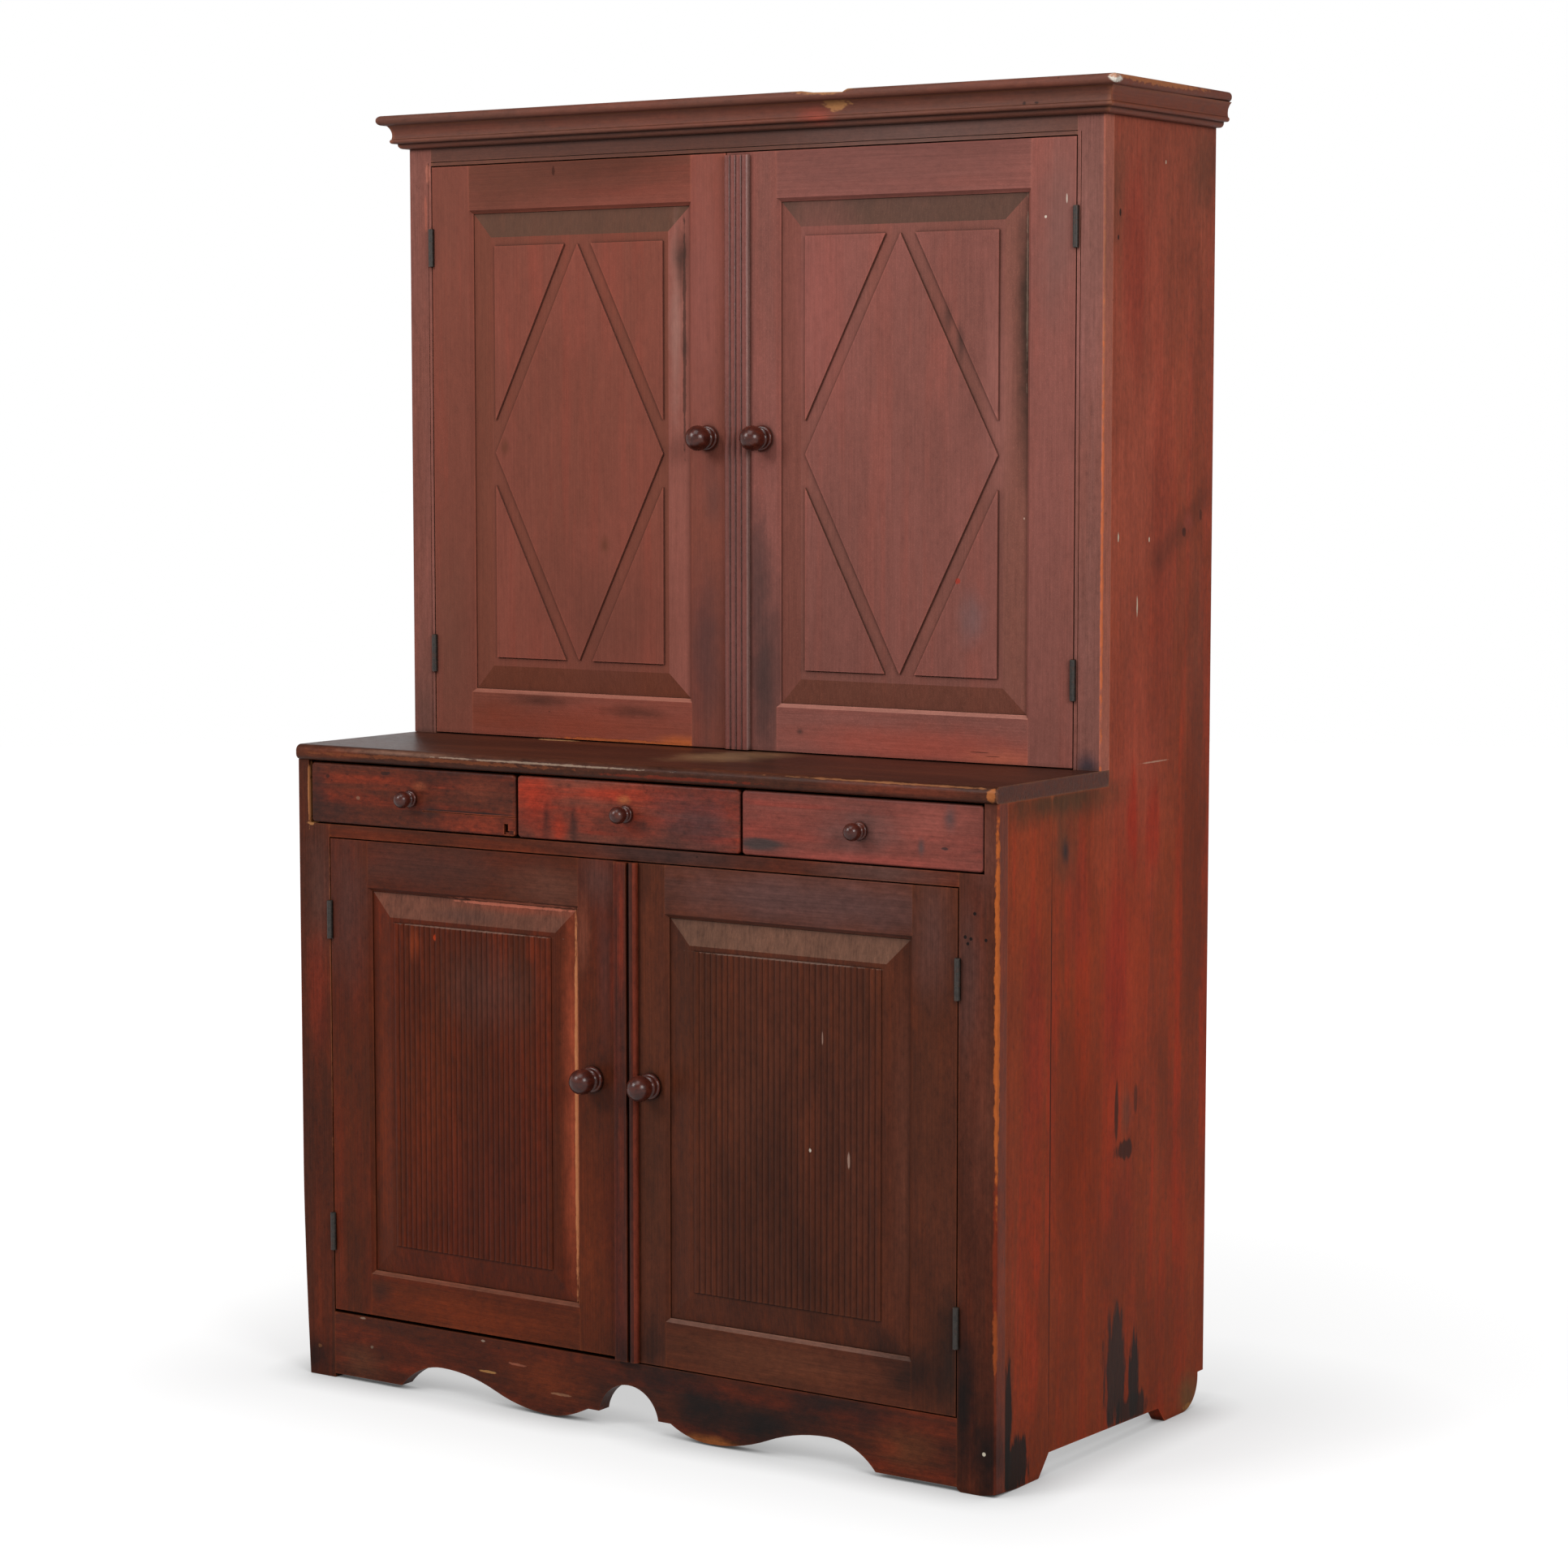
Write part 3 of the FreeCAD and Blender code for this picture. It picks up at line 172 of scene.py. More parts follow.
class Shader:
    """One node material, with short calls for the nodes that it needs."""

    def __init__(self, name, grain="z", seed=0):
        self.material = bpy.data.materials.new(name)
        self.material.use_nodes = True
        self.tree = self.material.node_tree
        self.tree.nodes.clear()
        self.grain = "xyz".index(grain)
        self.offset = SEED_STEP * (seed + 1)
        self.rims = {}
        self.outer = None
        place = self.node("ShaderNodeTexCoord")
        self.place = place.outputs["Object"]
        self.normal = place.outputs["Normal"]

    def node(self, kind, **settings):
        made = self.tree.nodes.new(kind)
        for key, value in settings.items():
            setattr(made, key, value)
        return made

    def put(self, socket, value):
        """Links a value from another node, or sets a plain one or a colour as seen on screen."""
        if isinstance(value, bpy.types.NodeSocket):
            self.tree.links.new(value, socket)
        elif isinstance(value, str):
            socket.default_value = shade(value)[:len(socket.default_value)]
        else:
            socket.default_value = value

    def filled(self, kind, operation, values):
        """Node for a sum, with its first inputs filled."""
        made = self.node(kind, operation=operation)
        for socket, value in zip(made.inputs, values):
            self.put(socket, value)
        return made

    def math(self, operation, *values):
        return self.filled("ShaderNodeMath", operation, values).outputs[0]

    def times(self, first, second):
        return self.math("MULTIPLY", first, second)

    def vector(self, operation, *values):
        made = self.filled("ShaderNodeVectorMath", operation, values)
        return made.outputs["Value" if operation in ("LENGTH", "DOT_PRODUCT") else "Vector"]

    def along(self, axis):
        """The place along one axis, in metres."""
        parts = self.node("ShaderNodeSeparateXYZ")
        self.put(parts.inputs[0], self.place)
        return parts.outputs[axis]

    def stretched(self, across, along):
        """The place scaled so that a pattern is drawn out along the grain."""
        scale = [across] * 3
        scale[self.grain] = along
        return self.vector("MULTIPLY_ADD", self.place, scale, self.offset)

    def noise(self, across, along, detail=3.0, roughness=0.55, warp=0.0):
        """Noise with so many cells per metre across and along the grain."""
        made = self.node("ShaderNodeTexNoise")
        self.put(made.inputs["Vector"], self.stretched(across, along))
        self.put(made.inputs["Scale"], 1.0)
        self.put(made.inputs["Detail"], detail)
        self.put(made.inputs["Roughness"], roughness)
        self.put(made.inputs["Distortion"], warp)
        return made.outputs[0]

    def ramp(self, value, low, high):
        """Smooth step from 0 at low to 1 at high."""
        made = self.node("ShaderNodeMapRange", interpolation_type="SMOOTHSTEP")
        self.put(made.inputs["Value"], value)
        self.put(made.inputs["From Min"], low)
        self.put(made.inputs["From Max"], high)
        return made.outputs["Result"]

    def mix(self, amount, first, second):
        made = self.node("ShaderNodeMix", data_type="RGBA")
        self.put(made.inputs[0], amount)
        self.put(made.inputs[6], first)
        self.put(made.inputs[7], second)
        return made.outputs[2]

    def cover(self, colour, where, strength, tint):
        """Colour covered by a tint in some places, up to a strength."""
        return self.mix(self.times(where, strength), colour, tint)

    def tone(self, colour, amount):
        """Colour made lighter or darker by an amount around 1."""
        made = self.node("ShaderNodeVectorMath", operation="SCALE")
        self.put(made.inputs[0], colour)
        self.put(made.inputs["Scale"], amount)
        return made.outputs[0]

    def closeness(self, distance, inside):
        """0 on open flats, rising in corners, or with inside on the piece's own free edges."""
        made = self.node("ShaderNodeAmbientOcclusion", inside=inside, only_local=inside, samples=4)
        self.put(made.inputs["Distance"], distance)
        return self.math("SUBTRACT", 1.0, made.outputs["AO"])

    def rim(self, kind):
        """Noise around zero for the rims of one kind of mark, made once."""
        if kind not in self.rims:
            across, along = KINDS[kind][:2]
            noise = self.noise(across, along, detail=4.0, roughness=0.66)
            self.rims[kind] = self.math("SUBTRACT", noise, 0.5)
        return self.rims[kind]

    def outward(self):
        """0 on faces that look to the back, where no mark shows, and 1 on the others, made once."""
        if self.outer is None:
            self.outer = self.ramp(self.vector("DOT_PRODUCT", self.normal, BACKWARD), 0.7, 0.4)
        return self.outer

    def spot(self, mark):
        """The strength of a mark in its middle, 0 outside, with a rim after its kind."""
        scale = [1 / half for half in mark.size]
        shift = [-value / half for value, half in zip(mark.centre, mark.size)]
        distance = self.vector("LENGTH", self.vector("MULTIPLY_ADD", self.place, scale, shift))
        uneven = self.math("MULTIPLY_ADD", self.rim(mark.kind), mark.ragged * 2, distance)
        outside, inside = KINDS[mark.kind][2:]
        spot = self.times(self.ramp(uneven, outside, inside), mark.strength)
        return self.times(spot, self.outward())

    def specks(self, cells, share, radius):
        """1 on small dots in a share of the cells of a loose grid, so many cells per metre."""
        made = self.node("ShaderNodeTexVoronoi")
        self.put(made.inputs["Vector"], self.stretched(cells, cells * 0.7))
        self.put(made.inputs["Scale"], 1.0)
        parts = self.node("ShaderNodeSeparateColor")
        self.put(parts.inputs[0], made.outputs["Color"])
        chosen = self.math("GREATER_THAN", parts.outputs[0], 1 - share)
        return self.times(chosen, self.ramp(made.outputs["Distance"], radius, radius * 0.4))

    def finish(self, colour, roughness, height, relief, specular):
        """Shader from a colour, a roughness and a height in units of the relief, in metres."""
        bump = self.node("ShaderNodeBump")
        self.put(bump.inputs["Strength"], 1.0)
        self.put(bump.inputs["Distance"], relief)
        self.put(bump.inputs["Height"], height)
        made = self.node("ShaderNodeBsdfPrincipled")
        self.put(made.inputs["Base Color"], colour)
        self.put(made.inputs["Roughness"], roughness)
        self.put(made.inputs["Specular IOR Level"], specular)
        self.put(made.inputs["Normal"], bump.outputs[0])
        output = self.node("ShaderNodeOutputMaterial")
        self.put(output.inputs["Surface"], made.outputs[0])
        return self.material


def paint_ground(make, look, patch):
    """Clouds of two paints, with streaks of the coat under them."""
    cloud = make.noise(4.0, 2.0, detail=4.0)
    streak = make.noise(30.0, 1.3, detail=4.0, warp=0.4)
    colour = make.mix(make.ramp(cloud, 0.36, 0.64), look.main, look.second)
    red = make.times(make.ramp(streak, 0.45, 0.64), look.streaks)
    return make.cover(colour, red, make.ramp(patch, 0.32, 0.60), look.under)


def panel_tints_and_shade(make, colour, look, facings, recess):
    """Tints of the slopes that look one way, painted light and shade among them, and of what lies behind a
    raised field, with a painted shadow inside the frame round it.
    """
    if recess:
        behind = make.ramp(make.along("Y"), recess.front + 0.0006, recess.front + 0.0026)
        colour = make.cover(colour, behind, recess.strength, recess.colour)
        shadow = make.ramp(make.closeness(FRAME_REACH, inside=False), 0.10, 0.60)
        colour = make.cover(colour, shadow, RIM_STRENGTH, look.grime)
    for facing in facings:
        towards = make.vector("DOT_PRODUCT", make.normal, facing.direction)
        slope = make.ramp(towards, facing.start, facing.start + 0.06)
        colour = make.cover(colour, slope, facing.strength, facing.colour)
    return colour


def paint_light(make, look, fibre, mottle, patch):
    """How light the paint is, from its fibre, its fine mottle and its broad patches."""
    grain = make.math("MULTIPLY_ADD", fibre, look.fibre * 2, 1 - look.fibre)
    fine = make.math("MULTIPLY_ADD", mottle, look.mottled, 0.84 - look.mottled / 2)
    broad = make.math("MULTIPLY_ADD", patch, look.uneven * 3, 1 - look.uneven * 1.5)
    return make.times(make.times(grain, make.math("MAXIMUM", fine, 0.1)), broad)


def aged_paint(name, look, grain, seed, marks=(), facings=(), recess=None):
    """Old paint on a board: clouds, red streaks, fibre, corners darker with soil and painted shade, worn
    edges with a painted highlight, and single marks, a few of them painted highlights and painted shadows.
    """
    make = Shader(name, grain, seed)
    patch = make.noise(16.0, 5.0, detail=5.0, roughness=0.6, warp=0.3)
    fibre = make.noise(420.0, 9.0, detail=3.0, roughness=0.6)
    mottle = make.noise(120.0, 60.0, detail=6.0, roughness=0.75)
    grit = make.noise(900.0, 500.0, detail=2.0)

    # The coat, its fine wear and its dust
    colour = panel_tints_and_shade(make, paint_ground(make, look, patch), look, facings, recess)
    light = paint_light(make, look, fibre, mottle, patch)
    colour = make.tone(colour, make.times(light, 1.20))
    colour = make.cover(colour, make.ramp(mottle, 0.58, 0.72), min(0.4, look.mottled * 0.12), look.under)
    colour = make.cover(colour, make.ramp(mottle, 0.42, 0.30), min(0.5, look.mottled * 0.14), look.grime)
    colour = make.cover(colour, make.ramp(grit, 0.52, 0.75), look.dust, make.tone(colour, 1.7))

    # Stains, dirt, and a few painted highlights and painted shadows, all keeping the grain of the coat
    local_tint_light = make.times(light, 1.15)
    for mark in marks:
        if mark.kind != "chip":
            local_tint = make.tone(mark.colour, local_tint_light)
            colour = make.mix(make.spot(mark), colour, local_tint)

    # Free edges lighter, a painted highlight over partly worn paint; corners darker, soil with painted
    # shade; and paint rubbed down to the coat beneath and to the wood
    free = make.closeness(EDGE_REACH, inside=True)
    colour = make.cover(colour, make.ramp(free, 0.36, 0.52), 0.30, make.tone(colour, 1.8))
    corner = make.closeness(CORNER_REACH, inside=False)
    colour = make.cover(colour, make.ramp(corner, 0.08, 0.55), look.soil, look.grime)
    uneven = make.math("ADD", make.rim("chip"), make.math("SUBTRACT", patch, 0.5))
    edge = make.math("MULTIPLY_ADD", free, 1.5, uneven)
    colour = make.cover(colour, make.ramp(edge, 0.42, 0.75), look.wear, look.under)
    bare = make.times(make.ramp(edge, 0.74, 0.98), look.wear)
    colour = make.mix(bare, colour, look.raw)

    # Fly specks, pale dots and chips, a few of the chips being painted highlight and painted shadow lines
    colour = make.cover(colour, make.specks(34.0, 0.05, 0.06), 0.7, look.grime)
    colour = make.cover(colour, make.specks(27.0, 0.035, 0.04), 0.6, "c4a796")
    for mark in marks:
        if mark.kind == "chip":
            spot = make.spot(mark)
            colour = make.mix(spot, colour, make.tone(mark.colour, make.ramp(mottle, -0.6, 0.9)))
            bare = make.math("MAXIMUM", bare, spot)

    rough = make.math("MULTIPLY_ADD", mottle, 0.3, look.rough - 0.15)
    height = make.math("ADD", make.times(fibre, 0.5), mottle)
    height = make.math("SUBTRACT", height, make.times(bare, 0.35))
    return make.finish(colour, rough, height, PAINT_RELIEF, look.gloss)


def plank_joints(make, colour, planks):
    """Boards side by side, each a little lighter or darker, with dark joints between them."""
    count = make.math("DIVIDE", make.math("SUBTRACT", make.along("X"), planks.left), planks.width)
    shift = make.math("SINE", make.times(make.math("FLOOR", count), 2.3))
    colour = make.tone(colour, make.math("ADD", make.times(shift, 0.22), 1.0))
    joint = make.ramp(make.math("PINGPONG", count, 0.5), 0.012, 0.004)
    return make.cover(colour, joint, 0.85, "1c130d")


def bare_wood(name, grain, seed, planks=None):
    """Old unpainted pine, darkened by age, with broad and fine grain."""
    make = Shader(name, grain, seed)
    cloud = make.noise(5.0, 1.5, detail=3.0)
    figure = make.noise(46.0, 1.6, detail=4.0, warp=0.8)
    fibre = make.noise(420.0, 9.0, detail=3.0, roughness=0.6)
    local_tint = make.noise(9.0, 4.0, detail=5.0, roughness=0.65)
    colour = make.mix(make.ramp(figure, 0.38, 0.66), "9a6c43", "744a2b")
    colour = make.mix(make.ramp(cloud, 0.35, 0.7), colour, "8a5c38")
    colour = make.cover(colour, make.ramp(local_tint, 0.5, 0.75), 0.55, "4f3524")
    colour = make.tone(colour, make.ramp(fibre, -0.7, 0.8))
    if planks:
        colour = plank_joints(make, colour, planks)
    # Inside corners darker: dirt with painted shade
    corner = make.closeness(PINE_CORNER_REACH, inside=False)
    colour = make.cover(colour, make.ramp(corner, 0.15, 0.8), 0.6, "2c1e15")
    edge = make.math("ADD", make.closeness(PINE_EDGE_REACH, inside=True), make.math("SUBTRACT", local_tint, 0.5))
    colour = make.cover(colour, make.ramp(edge, 0.35, 0.6), 0.5, "b48a5c")
    rough = make.ramp(fibre, -2.2, 1.1)
    height = make.math("ADD", fibre, make.times(figure, 0.6))
    return make.finish(colour, rough, height, PINE_RELIEF, 0.12)


def knob_wood(name, seed):
    """Dark polished turning, rubbed a little redder in places."""
    make = Shader(name, "y", seed)
    figure = make.noise(160.0, 20.0, detail=3.0)
    wear = make.noise(60.0, 60.0, detail=4.0, roughness=0.6)
    colour = make.mix(make.ramp(figure, 0.35, 0.65), "471c13", "36150f")
    colour = make.cover(colour, make.ramp(wear, 0.48, 0.72), 0.5, "5c2a1b")
    # Hollows of the turning darker: dirt with painted shade
    corner = make.closeness(KNOB_CORNER_REACH, inside=False)
    colour = make.cover(colour, make.ramp(corner, 0.3, 0.9), 0.7, "110805")
    rough = make.math("MULTIPLY_ADD", wear, 0.16, 0.18)
    return make.finish(colour, rough, make.math("ADD", figure, wear), KNOB_RELIEF, 0.30)


def dull_iron(name, seed):
    """Dark forged iron with a trace of rust and rubbed edges."""
    make = Shader(name, "z", seed)
    scale = make.noise(260.0, 200.0, detail=5.0, roughness=0.7)
    rust = make.noise(120.0, 90.0, detail=4.0, roughness=0.65)
    colour = make.mix(make.ramp(scale, 0.35, 0.65), "1f1b18", "332d29")
    colour = make.cover(colour, make.ramp(rust, 0.52, 0.7), 0.6, "3c2318")
    edge = make.math("ADD", make.closeness(IRON_EDGE_REACH, inside=True), make.math("SUBTRACT", scale, 0.5))
    colour = make.cover(colour, make.ramp(edge, 0.35, 0.6), 0.5, "58524a")
    rough = make.math("MULTIPLY_ADD", scale, 0.4, 0.3)
    return make.finish(colour, rough, scale, IRON_RELIEF, 0.3)


def on_front(kind, colour, x, z, half_x, half_z, strength=0.8, ragged=0.5, face=LOWER_FACE):
    """Mark on the front, given by its place across and up."""
    return Mark(colour, (x, face, z), (half_x, FRONT_DEPTH, half_z), strength, ragged, kind)


def on_upper(*values, **more):
    """Mark on the front of the upper case."""
    return on_front(*values, face=UPPER_FACE, **more)


def on_side(kind, colour, back, z, half_y, half_z, strength=0.8, ragged=0.5, edge=RIGHT_EDGE):
    """Mark on a side, given by its distance behind the lower front and its height."""
    place = (edge, LOWER_FACE + back, z)
    return Mark(colour, place, (SIDE_DEPTH, half_y, half_z), strength, ragged, kind)


def on_level(kind, colour, x, back, height, half_x, half_y, half_z, strength=0.8, ragged=0.5):
    """Mark on a level board, given by its place across, behind the lower front and up."""
    place = (x, LOWER_FACE + back, height)
    return Mark(colour, place, (half_x, half_y, half_z), strength, ragged, kind)


def on_arris(colour, face, z, half_x, half_y, half_z, strength=0.9, ragged=0.8):
    """Chip along the right front edge of the case, on the lower or the upper front."""
    return Mark(colour, (RIGHT_EDGE, face, z), (half_x, half_y, half_z), strength, ragged, "chip")


SOOT = "120d0c"

# Soil at the lower right corner of the lower right door, over three of its nodes
LOWER_RIGHT_SOIL = [
    on_front("smudge", "150d0a", 0.49, 0.155, 0.07, 0.055, 0.75, 0.6),
    on_front("smudge", "150d0a", 0.44, 0.19, 0.04, 0.04, 0.5, 0.6),
]

# Dark knot on the right side, drawn out up and to the back
KNOT_BACK = 0.445
KNOT_HEIGHT = 1.274
KNOT_RUN = 0.145
KNOT_RISE = 0.092
KNOT_STEPS = (0.0, 0.17, 0.33, 0.5, 0.67, 0.83, 1.0)
SIDE_KNOT = [
    on_side("smudge", "46291f", KNOT_BACK + KNOT_RUN * step, KNOT_HEIGHT + KNOT_RISE * step,
            0.03, 0.034, 0.4, 0.3)
    for step in KNOT_STEPS
]

# Worn, dirty, stained, darker and lighter places of the painted nodes, among them a few painted highlights
# and painted shadows
MARKS = {
    "upper_left_door_panel": [
        on_upper("smudge", "683a2f", -0.24, 1.17, 0.17, 0.15, 0.8, 0.3),
        on_upper("smudge", "8c645a", -0.112, 1.62, 0.014, 0.2, 0.7, 0.6),
        # Thin dark line down the right sight edge: painted shadow of the stile's edge
        on_upper("chip", "33231d", -0.0975, 1.6, 0.003, 0.19, 0.7, 0.8),
        on_upper("smudge", "2e201a", -0.103, 1.715, 0.016, 0.07, 0.8, 0.6),
        on_upper("smudge", "382a26", -0.097, 1.585, 0.009, 0.022, 0.6, 0.6),
        on_upper("smudge", "55301f", -0.437, 1.435, 0.014, 0.017, 0.6),
        on_upper("smudge", "55301f", -0.244, 1.285, 0.012, 0.018, 0.6),
    ],
    "upper_left_door_rails": [
        on_upper("chip", "3d1d14", -0.34, 1.856, 0.003, 0.008, 0.8, 0.4),
        on_upper("smudge", "502b20", -0.28, 1.875, 0.36, 0.08, 1.0, 0.3),
        on_upper("smudge", "5d3428", -0.42, 1.84, 0.22, 0.08, 0.85, 0.3),
        on_upper("smudge", "6c3424", -0.48, 1.02, 0.13, 0.05, 0.6, 0.3),
        on_upper("smudge", "7c3421", -0.3, 1.003, 0.3, 0.045, 0.6, 0.4),
        on_upper("smudge", "a8552a", -0.1, 0.985, 0.075, 0.018, 0.95, 0.3),
        on_upper("chip", "a8562c", -0.22, 0.985, 0.12, 0.0035, 0.8, 0.9),
        on_upper("smudge", "45271f", -0.375, 1.041, 0.08, 0.016, 0.7, 0.6),
        on_upper("smudge", "45271f", -0.185, 1.031, 0.08, 0.014, 0.7, 0.6),
    ],
    "upper_left_door_lock_stile": [
        on_upper("smudge", "824c44", -0.06, 1.66, 0.06, 0.34, 0.7, 0.3),
        on_upper("smudge", "533430", -0.055, 1.12, 0.05, 0.2, 0.9, 0.4),
        on_upper("smudge", "5a3832", -0.04, 1.36, 0.022, 0.07, 0.6),
    ],
    "upper_left_door_hinge_stile": [
        on_upper("smudge", "673d31", -0.55, 1.13, 0.06, 0.22, 0.75, 0.3),
        on_upper("smudge", "6f3f33", -0.55, 1.8, 0.06, 0.12, 0.6, 0.3),
    ],
    "upper_left_stile": [
        on_upper("smudge", "734338", -0.61, 1.45, 0.05, 0.65, 0.8, 0.2),
        on_upper("chip", "b06a58", -0.588, 1.862, 0.005, 0.018, 0.7, 0.9),
        on_upper("chip", "a85e4c", -0.592, 1.8, 0.003, 0.03, 0.6, 0.9),
        on_upper("smudge", "4c3730", -0.6, 1.02, 0.04, 0.14, 0.5),
    ],
    "upper_right_door_panel": [
        on_upper("chip", "a58a78", 0.4975, 1.66, 0.0014, 0.13, 0.3, 1.3),
        on_upper("smudge", "32241d", 0.499, 1.6, 0.026, 0.3, 1.0, 0.5),
        on_upper("smudge", "2f2420", 0.369, 1.623, 0.01, 0.035, 0.6),
        on_upper("smudge", "2f2420", 0.391, 1.586, 0.01, 0.035, 0.6),
        on_upper("smudge", "834b44", 0.15, 1.64, 0.09, 0.24, 0.6, 0.3),
        on_upper("smudge", "8e5950", 0.452, 1.5, 0.035, 0.22, 0.6, 0.3),
        on_upper("smudge", "5f5a5c", 0.412, 1.19, 0.03, 0.05, 0.4),
        on_upper("chip", "a53020", 0.388, 1.245, 0.006, 0.005, 0.7),
    ],
    "upper_right_door_rails": [
        on_upper("smudge", "663d37", 0.28, 1.875, 0.36, 0.08, 1.0, 0.3),
        on_upper("smudge", "72463f", 0.27, 1.835, 0.32, 0.07, 0.85, 0.3),
        on_upper("smudge", "964436", 0.33, 1.00, 0.27, 0.045, 0.7, 0.4),
        on_upper("smudge", "b05c44", 0.46, 0.99, 0.08, 0.022, 0.6, 0.4),
        on_upper("chip", "24120f", 0.425, 0.999, 0.018, 0.0009, 0.6, 0.3),
        on_upper("chip", "24120f", 0.448, 0.994, 0.014, 0.0009, 0.6, 0.3),
        on_upper("smudge", "43302c", 0.115, 1.015, 0.008, 0.006),
    ],
    "upper_right_door_hinge_stile": [
        on_upper("smudge", "734c45", 0.55, 1.74, 0.05, 0.18, 0.85, 0.3),
        on_upper("chip", "d8c8b8", 0.53, 1.76, 0.0022, 0.0022, 0.9, 0.2),
        on_upper("chip", "d8c8b8", 0.564, 1.784, 0.0015, 0.007, 0.6, 0.4),
    ],
    "upper_right_door_lock_stile": [
        on_upper("smudge", "46322f", 0.05, 1.11, 0.05, 0.22, 0.95, 0.4),
        on_upper("smudge", "4a3431", 0.04, 1.26, 0.03, 0.12, 0.7),
    ],
    "upper_right_stile": [
        on_upper("smudge", "2b2b33", 0.604, 0.984, 0.026, 0.032, 0.85),
        on_upper("smudge", "774e46", 0.605, 1.74, 0.04, 0.2, 0.7, 0.3),
        on_arris("a8694a", UPPER_FACE, 1.44, 0.0022, 0.004, 0.47, 0.6, 1.1),
        on_arris("c86a44", UPPER_FACE, 1.29, 0.0028, 0.0042, 0.31, 0.9, 1.2),
    ],
    "frieze_rail": [
        # Frieze darkened under the cornice: painted shade
        on_upper("smudge", "4a2c23", -0.1, 1.89, 0.9, 0.08, 0.9, 0.3),
        on_upper("smudge", "5c443e", 0.33, 1.88, 0.36, 0.06, 0.7, 0.3),
    ],
    "cornice_front": [
        on_upper("smudge", "76564b", 0.25, 1.894, 0.26, 0.012, 0.7, 0.3),
        on_upper("chip", "b07a4c", 0.193, 1.932, 0.025, 0.012, 0.85, 0.9),
        on_upper("smudge", "8c3a2c", 0.155, 1.916, 0.045, 0.018),
        on_upper("chip", "2a1a15", 0.505, 1.917, 0.003, 0.003, 0.8, 0.3),
        on_upper("chip", "2a1a15", 0.525, 1.917, 0.004, 0.002, 0.8, 0.3),
    ],
    "cornice_right_return": [
        on_side("smudge", "7a3322", 0.3, 1.92, 0.06, 0.03, 0.7),
        on_side("smudge", "7a3322", 0.55, 1.915, 0.05, 0.02, 0.6),
    ],
    "top_board": [
        Mark("a8744a", (0.178, TOP_FRONT, TOP_HEIGHT), (0.05, 0.06, 0.008), 0.85, 0.8, "chip"),
        Mark("e4dccf", (RIGHT_EDGE + 0.036, TOP_FRONT, TOP_HEIGHT - 0.006),
             (0.012, 0.02, 0.008), 0.95, 0.7, "chip"),
        Mark("a8663c", (RIGHT_EDGE + 0.034, 0.1, TOP_HEIGHT - 0.003),
             (0.014, 0.18, 0.006), 0.8, 1.0, "chip"),
    ],
    "waist_shelf": [
        on_level("smudge", "8a6a4c", 0.05, 0.17, WAIST_TOP, 0.1, 0.12, 0.02, 0.7),
        on_level("smudge", "7c5c40", 0.09, 0.24, WAIST_TOP, 0.06, 0.05, 0.02, 0.6),
        on_level("chip", "b98a5e", -0.335, 0.272, WAIST_TOP, 0.045, 0.01, 0.006, 0.9, 0.8),
        on_level("smudge", "7a3a22", -0.55, -0.006, WAIST_TOP - 0.01, 0.09, 0.01, 0.012, 0.6),
        # Pale line along the top of the nose: painted highlight, partly worn paint
        on_level("smudge", "84604f", -0.42, -0.004, WAIST_TOP - 0.005, 0.15, 0.008, 0.005, 0.7, 0.4),
        on_level("chip", "7d4428", -0.35, -0.006, WAIST_TOP - 0.012, 0.26, 0.006, 0.003, 0.6, 1.5),
        on_level("chip", "b59a84", -0.16, -0.006, WAIST_TOP - 0.007, 0.2, 0.004, 0.0016, 0.5, 1.3),
        on_level("chip", "7a2c1c", 0.1, -0.006, WAIST_TOP - 0.016, 0.14, 0.006, 0.003, 0.6, 1.3),
        on_level("smudge", "6a3020", 0.47, -0.006, WAIST_TOP - 0.012, 0.2, 0.012, 0.014, 0.8),
        on_level("chip", "a06a44", 0.45, -0.004, WAIST_TOP - 0.003, 0.18, 0.003, 0.0016, 0.6, 1.3),
        on_level("chip", "b06838", 0.618, -0.004, WAIST_TOP - 0.012, 0.008, 0.008, 0.012, 0.8, 0.9),
    ],
    "left_drawer_front": [
        on_front("smudge", "80301c", -0.28, 0.876, 0.13, 0.02, 0.75),
        on_front("smudge", "2c1712", -0.585, 0.91, 0.03, 0.07, 0.7),
        on_front("smudge", "2c1712", -0.545, 0.885, 0.03, 0.02, 0.6),
        on_front("smudge", "24140f", -0.365, 0.895, 0.035, 0.02, 0.7),
        on_front("smudge", "8a4a30", -0.383, 0.929, 0.02, 0.01, 0.6),
        on_front("chip", "9a7a62", -0.505, 0.905, 0.004, 0.003, 0.4, 0.7),
        on_front("smudge", "68301f", -0.27, 0.932, 0.07, 0.022, 0.7),
        on_front("chip", "1a0d09", -0.45, 0.945, 0.01, 0.003, 0.7, 0.9),
        on_front("chip", "180d09", -0.292, 0.895, 0.088, 0.0015, 0.8, 0.3),
        on_front("chip", "1a0d09", -0.565, 0.935, 0.004, 0.004, 0.7, 0.8),
    ],
    "middle_drawer_front": [
        on_front("smudge", "8e2a17", -0.165, 0.915, 0.055, 0.06, 0.95, 0.7),
        on_front("smudge", "942c17", -0.12, 0.88, 0.02, 0.03, 0.7, 0.7),
        on_front("flame", "8a2a18", -0.03, 0.935, 0.06, 0.012, 0.5, 0.8),
        on_front("smudge", "1e120f", -0.145, 0.895, 0.01, 0.04, 0.6, 0.9),
        on_front("smudge", "1e120f", -0.095, 0.885, 0.01, 0.04, 0.7, 0.9),
        on_front("smudge", "38292a", 0.13, 0.905, 0.11, 0.07, 0.75, 0.6),
        on_front("smudge", "9c5a34", -0.004, 0.93, 0.016, 0.01, 0.7),
